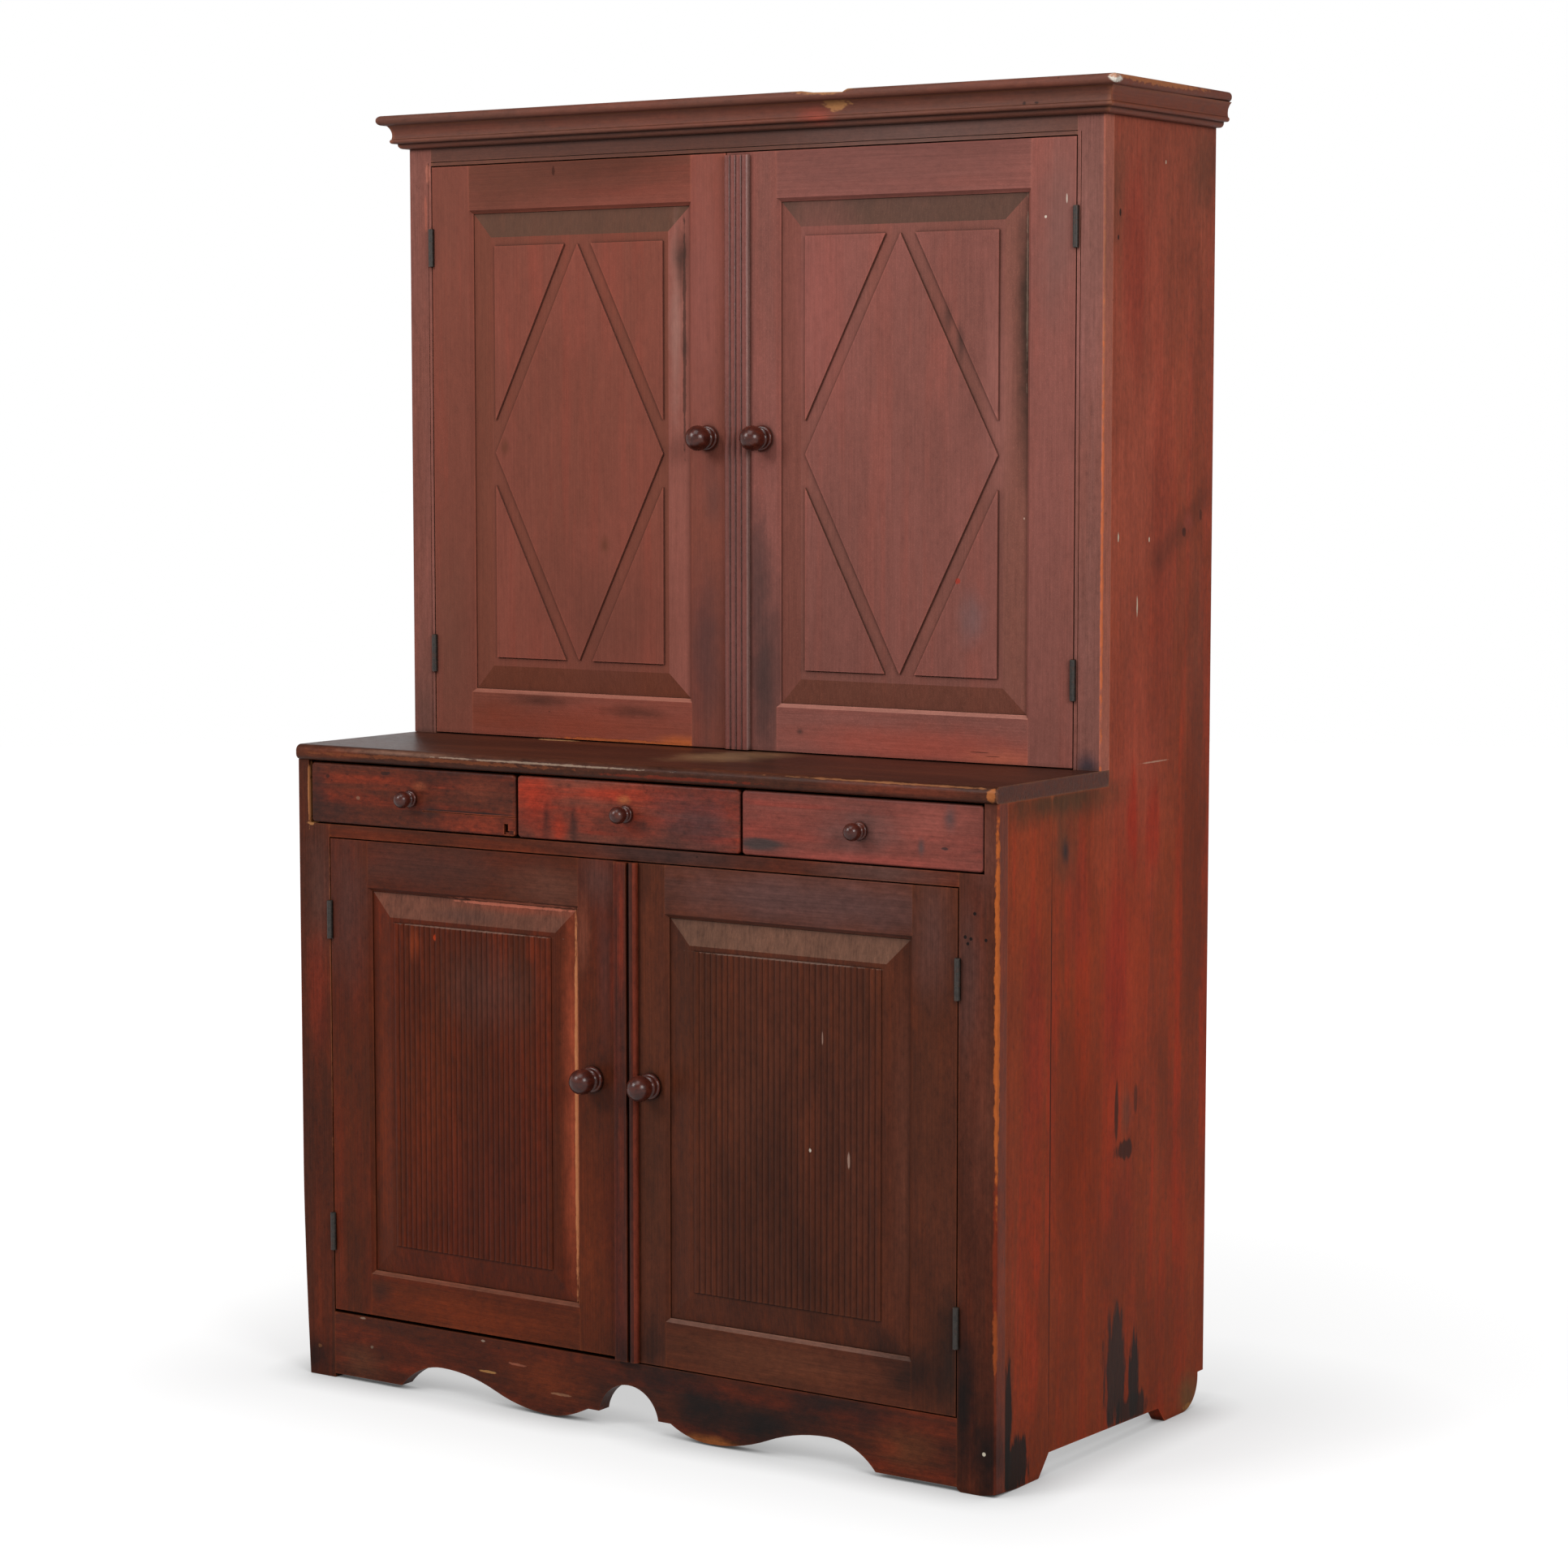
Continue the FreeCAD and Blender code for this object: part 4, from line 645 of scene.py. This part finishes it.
        on_front("smudge", "24140f", 0.03, 0.895, 0.03, 0.02, 0.6),
    ],
    "right_drawer_front": [
        on_front("smudge", "8c4a40", 0.52, 0.93, 0.09, 0.05, 0.8, 0.3),
        on_front("flame", "33302f", 0.235, 0.88, 0.045, 0.012, 0.85, 0.6),
        on_front("smudge", "57423e", 0.4, 0.905, 0.09, 0.05, 0.65),
        on_front("smudge", "3f3a3b", 0.548, 0.935, 0.014, 0.026, 0.7),
        on_front("smudge", "3f3a3b", 0.502, 0.893, 0.008, 0.018, 0.7),
        on_front("chip", "2a2324", 0.54, 0.893, 0.007, 0.003, 0.8, 0.7),
        on_front("smudge", "9a463c", 0.42, 0.869, 0.2, 0.014, 0.6),
    ],
    "drawer_rail": [
        on_front("smudge", "372724", 0.08, 0.856, 0.26, 0.03, 0.8, 0.3),
        on_front("smudge", "523832", 0.43, 0.853, 0.16, 0.03, 0.85, 0.3),
    ],
    "lower_left_door_hinge_stile": [
        on_front("smudge", "4a2d27", -0.53, 0.74, 0.06, 0.18, 0.7, 0.3),
    ],
    "lower_left_stile": [
        on_front("smudge", "4c3029", -0.58, 0.76, 0.05, 0.14, 0.7, 0.3),
        on_front("chip", "b5764a", -0.6035, 0.905, 0.0022, 0.048, 0.8, 1.1),
        on_front("chip", "b98050", -0.6, 0.861, 0.008, 0.003, 0.8, 1.0),
        on_front("chip", "8a5034", -0.5635, 0.6, 0.0014, 0.23, 0.5, 1.3),
        on_front("smudge", "7d2e1e", -0.59, 0.6, 0.03, 0.12, 0.6),
        on_front("smudge", SOOT, -0.6, 0.03, 0.05, 0.05),
        on_front("chip", "8a5a3a", -0.594, 0.045, 0.004, 0.004, 0.5, 1.0),
    ],
    "lower_right_stile": [
        on_arris("7a2e1a", LOWER_FACE, 0.34, 0.006, 0.006, 0.16),
        on_arris("b9602c", LOWER_FACE, 0.68, 0.006, 0.0065, 0.29, 0.95),
        on_arris("9a4a24", LOWER_FACE, 0.22, 0.006, 0.005, 0.05, 0.9, 0.9),
        on_front("smudge", "64392f", 0.605, 0.9, 0.04, 0.1, 0.8, 0.3),
        on_front("smudge", "4a2e28", 0.58, 0.72, 0.04, 0.18, 0.85, 0.3),
        on_front("smudge", "583024", 0.6, 0.52, 0.04, 0.22, 0.7, 0.3),
        on_front("smudge", SOOT, 0.572, 0.13, 0.03, 0.15, 0.95, 0.6),
        on_front("smudge", SOOT, 0.612, 0.06, 0.03, 0.1, 0.9, 0.6),
        on_front("chip", "d8cdb8", 0.607, 0.059, 0.0032, 0.0032, 0.9, 0.2),
    ] + [
        on_front("chip", "0d0908", x, z, 0.0028, 0.0028, 0.95, 0.2)
        for x, z in ((0.588, 0.807), (0.573, 0.774), (0.577, 0.765), (0.582, 0.772), (0.606, 0.772))
    ],
    "lower_left_door_panel": [
        on_front("smudge", "97442c", -0.096, 0.47, 0.03, 0.4, 0.9, 0.3),
        on_front("chip", "d68a5c", -0.0962, 0.47, 0.0036, 0.31, 0.9, 0.5),
        on_front("chip", "b86852", -0.215, 0.76, 0.12, 0.0026, 0.85, 0.8),
        on_front("smudge", "84402e", -0.2, 0.757, 0.15, 0.012, 0.7, 0.4),
        on_front("smudge", "6c2a12", -0.46, 0.43, 0.02, 0.36, 0.8, 0.3),
        on_front("smudge", "431a0f", -0.26, 0.33, 0.14, 0.18, 0.6, 0.3),
        on_front("smudge", "523128", -0.26, 0.63, 0.12, 0.09, 0.6, 0.3),
        on_front("smudge", "5e2510", -0.36, 0.46, 0.09, 0.2, 0.6, 0.3),
        on_front("smudge", "3b2f2c", -0.3, 0.738, 0.1, 0.014, 0.35, 0.5),
        # Thin pale line where the top bevel meets the field: painted highlight
        on_front("chip", "96786a", -0.288, 0.718, 0.155, 0.0012, 0.5, 0.8),
        on_front("flame", "7a3218", -0.395, 0.69, 0.016, 0.035, 0.7),
        on_front("flame", "742c16", -0.175, 0.7, 0.014, 0.03, 0.6),
        on_front("chip", "b8401c", -0.357, 0.702, 0.003, 0.006, 0.8, 0.4),
    ],
    "lower_left_door_lock_stile": [
        on_front("chip", "c4704a", -0.091, 0.47, 0.0026, 0.31, 0.85, 0.8),
        on_front("smudge", "3a1a10", -0.05, 0.52, 0.025, 0.16, 0.4),
        on_front("smudge", "602812", -0.075, 0.28, 0.05, 0.24, 0.75, 0.3),
        on_front("smudge", "44241e", -0.04, 0.68, 0.02, 0.15, 0.8, 0.4),
        on_front("smudge", "4e302a", -0.05, 0.81, 0.06, 0.06, 0.8, 0.3),
        on_front("smudge", "6c3828", -0.08, 0.73, 0.02, 0.08, 0.8, 0.4),
        on_front("flame", "7a2a18", -0.026, 0.68, 0.006, 0.1, 0.3),
    ],
    "lower_left_door_rails": [
        on_front("smudge", "432720", -0.38, 0.81, 0.26, 0.06, 0.8, 0.3),
        on_front("smudge", "5a3529", -0.13, 0.79, 0.12, 0.05, 0.8, 0.3),
        on_front("chip", "a8604a", -0.21, 0.765, 0.12, 0.0024, 0.8, 1.0),
        on_front("smudge", "722e14", -0.3, 0.13, 0.26, 0.05, 0.75, 0.4),
        on_front("smudge", "2a1a14", -0.47, 0.145, 0.03, 0.03, 0.6),
    ],
    "lower_right_door_panel": [
        on_front("smudge", "371a0f", 0.28, 0.32, 0.2, 0.22, 0.7, 0.3),
        on_front("smudge", "522a1c", 0.21, 0.52, 0.09, 0.14, 0.5, 0.3),
        on_front("smudge", "562f22", 0.475, 0.47, 0.025, 0.3, 0.7, 0.3),
        # Thin pale line where the top bevel meets the field: painted highlight
        on_front("chip", "8e766a", 0.275, 0.718, 0.16, 0.0012, 0.5, 0.8),
        on_front("chip", "e0d4c4", 0.32, 0.452, 0.0028, 0.003, 0.9, 0.2),
        on_front("chip", "b59484", 0.385, 0.445, 0.0018, 0.012, 0.6, 0.5),
        on_front("chip", "b59484", 0.341, 0.613, 0.0015, 0.01, 0.6, 0.5),
    ] + LOWER_RIGHT_SOIL,
    "lower_right_door_rails": [
        on_front("smudge", "593c38", 0.32, 0.805, 0.36, 0.06, 0.9, 0.3),
        on_front("smudge", "58301f", 0.26, 0.135, 0.24, 0.05, 0.7, 0.3),
    ] + LOWER_RIGHT_SOIL,
    "lower_right_door_hinge_stile": [
        on_front("smudge", "52342e", 0.52, 0.77, 0.05, 0.12, 0.7, 0.3),
        on_front("smudge", "532a1a", 0.51, 0.5, 0.05, 0.18, 0.6, 0.3),
        on_front("smudge", "1e130e", 0.552, 0.18, 0.035, 0.13, 0.9, 0.4),
    ] + LOWER_RIGHT_SOIL,
    "lower_right_door_lock_stile": [
        on_front("smudge", "452416", 0.045, 0.42, 0.05, 0.3, 0.7, 0.3),
        on_front("smudge", "17100d", 0.045, 0.14, 0.05, 0.06, 0.6),
    ],
    "lower_right_door_strip": [
        on_front("flame", "7a2c1a", -0.003, 0.72, 0.01, 0.12, 0.7, 0.7),
        on_front("flame", "6a2a18", -0.003, 0.4, 0.008, 0.12, 0.5, 0.7),
        on_front("smudge", SOOT, 0.0, 0.11, 0.03, 0.07, 0.7),
    ],
    "skirt_board": [
        on_front("smudge", SOOT, 0.06, 0.085, 0.1, 0.035, 0.85, 0.6),
        on_front("smudge", SOOT, 0.13, 0.055, 0.07, 0.04, 0.9, 0.6),
        on_front("smudge", SOOT, 0.24, 0.045, 0.16, 0.05, 0.95, 0.6),
        on_front("smudge", SOOT, 0.34, 0.09, 0.1, 0.04, 0.85, 0.6),
        on_front("smudge", SOOT, 0.42, 0.085, 0.07, 0.03, 0.6, 0.6),
        on_front("smudge", "552c18", 0.485, 0.048, 0.07, 0.04, 0.9, 0.4),
        on_front("smudge", "652a13", -0.15, 0.055, 0.11, 0.05, 0.9, 0.4),
        on_front("smudge", "54301f", -0.51, 0.03, 0.06, 0.04, 0.7, 0.4),
        on_front("smudge", "96562a", 0.15, 0.002, 0.06, 0.014, 0.8, 0.6),
        on_front("smudge", "7a3018", 0.45, 0.045, 0.03, 0.015, 0.5),
        on_front("chip", "b5824e", -0.263, 0.051, 0.018, 0.0022, 0.8, 0.6),
        on_front("chip", "a8907e", -0.506, 0.1, 0.006, 0.0018, 0.6, 1.0),
        on_front("chip", "b09a88", -0.271, 0.097, 0.005, 0.002, 0.6, 1.0),
        on_front("chip", "94806e", -0.489, 0.057, 0.004, 0.003, 0.5, 1.0),
        on_front("chip", "b06a52", -0.205, 0.07, 0.016, 0.0024, 0.5, 1.2),
        on_front("chip", "a87a5c", -0.125, 0.036, 0.022, 0.002, 0.5, 1.2),
    ],
    "left_side_boards": [
        on_side("smudge", "8e4a3a", 0.45, 1.85, 1.4, 1.15, 0.75, 0.2, LEFT_EDGE),
        on_side("flame", "93372a", 0.4, 1.5, 0.06, 0.3, 0.5, 0.5, LEFT_EDGE),
        on_side("flame", "5a3022", 0.52, 1.1, 0.05, 0.36, 0.5, 0.5, LEFT_EDGE),
        on_side("flame", "8f2c1e", 0.2, 0.6, 0.06, 0.24, 0.6, 0.7, LEFT_EDGE),
        on_side("smudge", "66301f", 0.3, 0.08, 0.6, 0.26, 0.6, 0.3, LEFT_EDGE),
        on_side("scorch", "1c1714", 0.03, 0.05, 0.04, 0.08, 0.9, 0.9, LEFT_EDGE),
        on_side("chip", "1a0c08", 0.145, 0.47, 0.0016, 0.5, 0.95, 0.1, LEFT_EDGE),
    ],
    "right_side_boards": [
        on_side("smudge", "8e4a3a", 0.45, 1.85, 1.4, 1.15, 0.75, 0.2),
        on_side("smudge", "9a4c3a", 0.37, 1.42, 0.13, 0.36, 0.8, 0.3),
        on_side("smudge", "984634", 0.38, 1.02, 0.14, 0.34, 0.8, 0.3),
        on_side("smudge", "a03b22", 0.36, 0.68, 0.13, 0.28, 0.85, 0.3),
        on_side("smudge", "802d12", 0.23, 0.42, 0.11, 0.36, 0.85, 0.3),
        on_side("smudge", "5c382a", 0.3, 1.8, 0.05, 0.12, 0.75),
        on_side("smudge", "5f3a2c", 0.57, 1.84, 0.07, 0.1, 0.7),
        on_side("flame", "93372a", 0.37, 1.7, 0.05, 0.2, 0.5),
        on_side("flame", "8f382a", 0.46, 1.3, 0.05, 0.3, 0.4),
        on_side("flame", "6a3a2c", 0.36, 1.2, 0.03, 0.22, 0.2),
        on_side("flame", "66382a", 0.57, 1.1, 0.04, 0.24, 0.5),
        on_side("flame", "9a2c1c", 0.375, 0.9, 0.022, 0.1, 0.8, 0.7),
        on_side("flame", "98301f", 0.435, 0.88, 0.03, 0.08, 0.8, 0.7),
        on_side("flame", "8f2c1e", 0.33, 0.68, 0.045, 0.18, 0.75, 0.7),
        on_side("flame", "842e20", 0.1, 0.62, 0.04, 0.22, 0.6, 0.7),
        on_side("flame", "842e20", 0.22, 0.8, 0.04, 0.12, 0.5, 0.7),
        on_side("flame", "86301f", 0.36, 0.34, 0.04, 0.12, 0.5, 0.7),
        on_side("flame", "4f3226", 0.435, 0.72, 0.012, 0.16, 0.35, 0.7),
        on_side("flame", "6c2e1a", 0.56, 0.78, 0.05, 0.3, 0.6, 0.7),
        on_side("smudge", "702f18", 0.3, 0.08, 0.6, 0.26, 0.6, 0.3),
        on_side("smudge", "46301f", 0.16, 0.95, 0.26, 0.04, 0.9, 0.5),
        on_side("smudge", "573827", 0.18, 0.89, 0.05, 0.08),
        on_side("smudge", "2a2426", 0.182, 0.878, 0.014, 0.026, 0.9),
        on_side("scorch", "2b1a14", 0.335, 0.495, 0.007, 0.05, 0.85, 0.8),
        on_side("scorch", "2b1a14", 0.362, 0.428, 0.03, 0.016, 0.85, 0.9),
        on_side("scorch", "3a2018", 0.392, 0.5, 0.006, 0.026, 0.7, 0.8),
        on_side("smudge", "5a3a2e", 0.365, 0.48, 0.02, 0.05, 0.6),
        on_side("scorch", "2a2320", 0.338, 0.115, 0.034, 0.105, 0.9, 0.9),
        on_side("scorch", "211c1a", 0.392, 0.085, 0.018, 0.08, 0.95, 0.9),
        on_side("scorch", "241d1a", 0.385, 0.04, 0.06, 0.026, 0.9, 1.0),
        on_side("scorch", "1c1714", 0.02, 0.08, 0.03, 0.12, 0.95, 0.9),
        on_side("scorch", "1c1714", 0.045, 0.03, 0.045, 0.05, 0.95, 0.9),
        on_side("smudge", "6a4a2c", 0.56, 0.02, 0.05, 0.05),
        on_side("chip", "a5713f", 0.58, 0.006, 0.045, 0.006, 0.7, 1.0),
        on_side("chip", "d8cab2", 0.326, 1.311, 0.0022, 0.007, 0.8, 0.9),
        on_side("chip", "d8cab2", 0.417, 1.305, 0.002, 0.004, 0.8, 0.9),
        on_side("chip", "d8cab2", 0.383, 1.208, 0.0022, 0.016, 0.8, 0.9),
        on_side("chip", "d8cab2", 0.457, 1.842, 0.0018, 0.003, 0.7, 0.9),
        on_side("chip", "d0a890", 0.44, 0.984, 0.045, 0.0013, 0.55, 0.9),
        on_side("chip", SOOT, 0.324, 1.765, 0.003, 0.006, 0.9, 0.5),
        on_side("chip", SOOT, 0.319, 1.73, 0.0025, 0.004, 0.9, 0.5),
        on_side("chip", "1a0c08", 0.145, 0.47, 0.0016, 0.5, 0.95, 0.1),
    ] + SIDE_KNOT + [
        on_side("smudge", "8e4336", 0.535, 1.328, 0.022, 0.018, 0.8, 0.4),
        on_side("chip", "2e1a14", 0.522, 1.314, 0.006, 0.008, 0.75, 0.9),
        on_side("chip", "3a211a", 0.574, 1.338, 0.005, 0.008, 0.65, 0.9),
    ],
}

# Tints of faces that look one way, by node: own paint or bare pine on some, painted light and shade on the
# bevels, upward chamfers and strips
FACINGS = {
    # Bevels of the upper panels: painted light and shade by the way each bevel faces, with some dusty grey
    # in it
    "upper_left_door_panel": [
        Facing("46362a", UPWARD, 0.7), Facing("5c3020", DOWNWARD, 0.7), Facing("814c42", RIGHTWARD, 0.8),
        Facing("693a2c", LEFTWARD, 0.5),
    ],
    "upper_right_door_panel": [
        Facing("453329", UPWARD, 0.8), Facing("5e3425", DOWNWARD, 0.6), Facing("70453a", RIGHTWARD, 0.6),
        Facing("6c3c32", LEFTWARD, 0.6),
    ],
    # Faces that look up on the door rails and lower panels: painted highlight, with a grey of dust in it
    "upper_left_door_rails": [Facing("9a6656", UPWARD, 0.5)],
    "upper_right_door_rails": [Facing("a06e60", UPWARD, 0.5)],
    "lower_left_door_panel": [Facing("643f32", UPWARD, 0.8)],
    "lower_right_door_panel": [Facing("644638", UPWARD, 0.8)],
    "lower_left_door_rails": [Facing("6b4232", UPWARD, 0.6)],
    "lower_right_door_rails": [Facing("6e5044", UPWARD, 0.6)],
    # Strips: painted highlight on the faces that look right, painted shade on the lower strip's faces that
    # look left
    "upper_right_door_strip": [Facing("c4aca4", RIGHTWARD, 0.25, 0.75)],
    "lower_right_door_strip": [
        Facing("7c321e", RIGHTWARD, 0.5, 0.40), Facing("24120c", LEFTWARD, 0.85, 0.30),
    ],
    "upper_right_stile": [Facing("985848", RIGHTWARD, 1.0)],
    "lower_right_stile": [Facing("6a2e1d", RIGHTWARD, 1.0)],
    "upper_left_stile": [Facing("7a3a2b", LEFTWARD, 1.0)],
    "lower_left_stile": [Facing("6a2e1d", LEFTWARD, 1.0)],
    "waist_shelf": [Facing("481a05", RIGHTWARD, 0.95), Facing("481a05", LEFTWARD, 0.95)],
    "cornice_right_return": [Facing("6a3322", RIGHTWARD, 0.7)],
    "top_board": [Facing("6a3322", RIGHTWARD, 0.7)],
    "right_side_boards": [Facing("6f4a2a", LEFTWARD, 0.9)],
    "left_side_boards": [Facing("6f4a2a", RIGHTWARD, 0.9)],
}

# Tints behind the raised fields, by node
RECESSES = {
    "upper_left_door_panel": "583425",
    "upper_right_door_panel": "5e3c30",
}

# Finish of each painted node, by the start of its name
PAINTED = {
    "upper_right_door_strip": "upper_strip",
    "lower_right_door_strip": "lower_strip",
    "upper_left_door": "upper_left",
    "upper_right_door": "upper_right",
    "lower_left_door": "lower_left",
    "lower_right_door": "lower_right",
    "cornice": "cornice",
    "top_board": "cornice",
    "frieze_rail": "cornice",
    "upper_left_stile": "upper_frame",
    "upper_right_stile": "upper_frame",
    "left_side_boards": "side",
    "right_side_boards": "side",
    "left_drawer_front": "left_drawer",
    "middle_drawer_front": "middle_drawer",
    "right_drawer_front": "right_drawer",
    "lower_left_stile": "lower_frame",
    "lower_right_stile": "lower_frame",
    "drawer_rail": "lower_frame",
    "skirt_board": "skirt",
    "waist_shelf": "shelf",
}

# Words in the names of nodes with upright grain, and with grain from front to back
UPRIGHT = ("stile", "panel", "strip", "side_boards", "back_boards", "leaves", "pins")
DEEP = ("return", "guides", "runners")


def grain_of(name):
    """Axis that the grain of a node runs along."""
    if any(word in name for word in UPRIGHT):
        return "z"
    if any(word in name for word in DEEP):
        return "y"
    return "x"


def recess_of(name):
    """Tint behind the raised field of a panel, or None for a node without one."""
    if name in RECESSES:
        return Recess(RECESSES[name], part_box(name)[0].y, RECESS_STRENGTH)
    return None


def planks_of(name):
    """Planks of the back, or None for a node that is one board."""
    if name == "back_boards":
        low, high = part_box(name)
        return Planks(low.x, (high.x - low.x) / BACK_PLANKS)
    return None


def finish_of(name, seed):
    """Material of one node."""
    material = "finish_" + name
    grain = grain_of(name)
    if "knob" in name:
        return knob_wood(material, seed)
    if "leaves" in name or "pins" in name:
        return dull_iron(material, seed)
    for words, look in PAINTED.items():
        if name.startswith(words):
            marks = MARKS.get(name, ())
            facings = FACINGS.get(name, ())
            return aged_paint(material, LOOKS[look], grain, seed, marks, facings, recess_of(name))
    return bare_wood(material, grain, seed, planks_of(name))


for seed, name in enumerate(sorted(nodes)):
    mesh = nodes[name].data
    mesh.materials.clear()
    mesh.materials.append(finish_of(name, seed))


def grey(level):
    return (level, level, level, 1.0)


def seen_by_camera(make):
    """1 for rays from the camera and for mirrored or refracted ones, 0 for scattered light."""
    path = make.node("ShaderNodeLightPath")
    seen = path.outputs["Is Camera Ray"]
    for kind in ("Is Glossy Ray", "Is Transmission Ray"):
        seen = make.math("MAXIMUM", seen, path.outputs[kind])
    return seen


def glow(make, strength):
    lit = make.node("ShaderNodeEmission")
    make.put(lit.inputs["Strength"], strength)
    return lit


def join_shaders(make, kind, first, second):
    """Mix or sum of two shaders."""
    joined = make.node(kind)
    sockets = [socket for socket in joined.inputs if socket.type == "SHADER"]
    make.put(sockets[0], first.outputs[0])
    make.put(sockets[1], second.outputs[0])
    return joined


def show_to_camera(make, scattered, seen):
    """Surface that is one shader to the camera and another to scattered light."""
    choice = join_shaders(make, "ShaderNodeMixShader", scattered, seen)
    make.put(choice.inputs[0], seen_by_camera(make))
    output = make.node("ShaderNodeOutputMaterial")
    make.put(output.inputs["Surface"], choice.outputs[0])


def stage_piece(name, shape, material):
    """Object of the stage from a mesh in the making."""
    mesh = bpy.data.meshes.new(name)
    shape.to_mesh(mesh)
    shape.free()
    mesh.materials.append(material)
    piece = bpy.data.objects.new(name, mesh)
    bpy.context.scene.collection.objects.link(piece)


def white_floor():
    """Pale floor, white far from the cupboard, with a soft painted shadow around its foot."""
    shape = bmesh.new()
    bmesh.ops.create_circle(shape, cap_ends=True, segments=STAGE_SEGMENTS, radius=STAGE_RADIUS)
    bmesh.ops.translate(shape, verts=shape.verts, vec=(0, 0, -FLOOR_DROP))
    make = Shader("floor_white")

    # Distance from the foot of the case, in metres
    beyond = make.vector("ABSOLUTE", make.place)
    beyond = make.vector("SUBTRACT", beyond, (RIGHT_EDGE, -LOWER_FACE, FLOOR_DROP))
    distance = make.vector("LENGTH", make.vector("MAXIMUM", beyond, (0.0, 0.0, 0.0)))

    # Painted shadow: grey at the foot that fades to white, darker where the case touches the floor
    greys = make.node("ShaderNodeValToRGB")
    stops = greys.color_ramp.elements
    stops[0].color = grey(FOOT_GREY)
    stops[1].color = grey(1.0)
    stops.new(NEAR_SHARE).color = grey(NEAR_GREY)
    make.put(greys.inputs[0], make.math("DIVIDE", distance, WHITE_WAY))
    touch = make.node("ShaderNodeAmbientOcclusion")
    make.put(touch.inputs["Distance"], TOUCH_REACH)
    make.put(touch.inputs["Color"], greys.outputs[0])
    far = make.math("SUBTRACT", distance, TOUCH_FADE)
    white = glow(make, 1.0)
    make.put(white.inputs["Color"], make.mix(far, touch.outputs["Color"], greys.outputs[0]))

    lit = make.node("ShaderNodeBsdfDiffuse")
    make.put(lit.inputs["Color"], grey(FLOOR_GREY))
    show_to_camera(make, lit, join_shaders(make, "ShaderNodeAddShader", lit, white))
    stage_piece("floor", shape, make.material)


def white_backdrop():
    """White wall round the stage that gives the room's own dim light to everything else."""
    shape = bmesh.new()
    ring = bmesh.ops.create_circle(shape, segments=STAGE_SEGMENTS, radius=STAGE_RADIUS)
    grown = bmesh.ops.extrude_edge_only(shape, edges=shape.edges[:])
    raised = [item for item in grown["geom"] if isinstance(item, bmesh.types.BMVert)]
    bmesh.ops.translate(shape, verts=raised, vec=(0, 0, WALL_HEIGHT))
    bmesh.ops.translate(shape, verts=ring["verts"], vec=(0, 0, -FLOOR_DROP))
    make = Shader("backdrop_white")
    show_to_camera(make, glow(make, AMBIENT), glow(make, 1.0))
    stage_piece("backdrop", shape, make.material)


def dim_world():
    """Even, dim light of the room."""
    world = bpy.data.worlds.new("studio")
    bpy.context.scene.world = world
    world.use_nodes = True
    background = world.node_tree.nodes["Background"]
    background.inputs["Color"].default_value = grey(1.0)
    background.inputs["Strength"].default_value = AMBIENT


def soft_box(name, place, size, watts):
    """Square lamp that looks at the middle of the cupboard."""
    lamp = bpy.data.lights.new(name, "AREA")
    lamp.shape = "SQUARE"
    lamp.size = size
    lamp.energy = watts
    holder = bpy.data.objects.new(name, lamp)
    holder.location = place
    aim = Vector(MIDDLE) - Vector(place)
    holder.rotation_euler = aim.to_track_quat("-Z", "Y").to_euler()
    bpy.context.scene.collection.objects.link(holder)


def photo_camera():
    """Camera that sees the cupboard as the photo does."""
    lens = bpy.data.cameras.new("camera")
    lens.sensor_width = SENSOR_WIDTH
    lens.lens = FOCAL_LENGTH
    lens.clip_end = CLIP_END
    camera = bpy.data.objects.new("camera", lens)
    camera.location = CAMERA_PLACE
    camera.rotation_euler = (math.radians(90 - CAMERA_DOWN), 0.0, math.radians(CAMERA_TURN))
    bpy.context.scene.collection.objects.link(camera)
    bpy.context.scene.camera = camera


white_floor()
white_backdrop()
dim_world()
soft_box("key_left", (-2.0, -3.9, 3.6), 1.8, 126)
soft_box("fill_right", (4.4, -2.6, 2.9), 1.8, 154)
soft_box("overhead", (0.3, -2.4, 4.6), 2.4, 62)
photo_camera()
bpy.context.scene.view_settings.view_transform = "Standard"
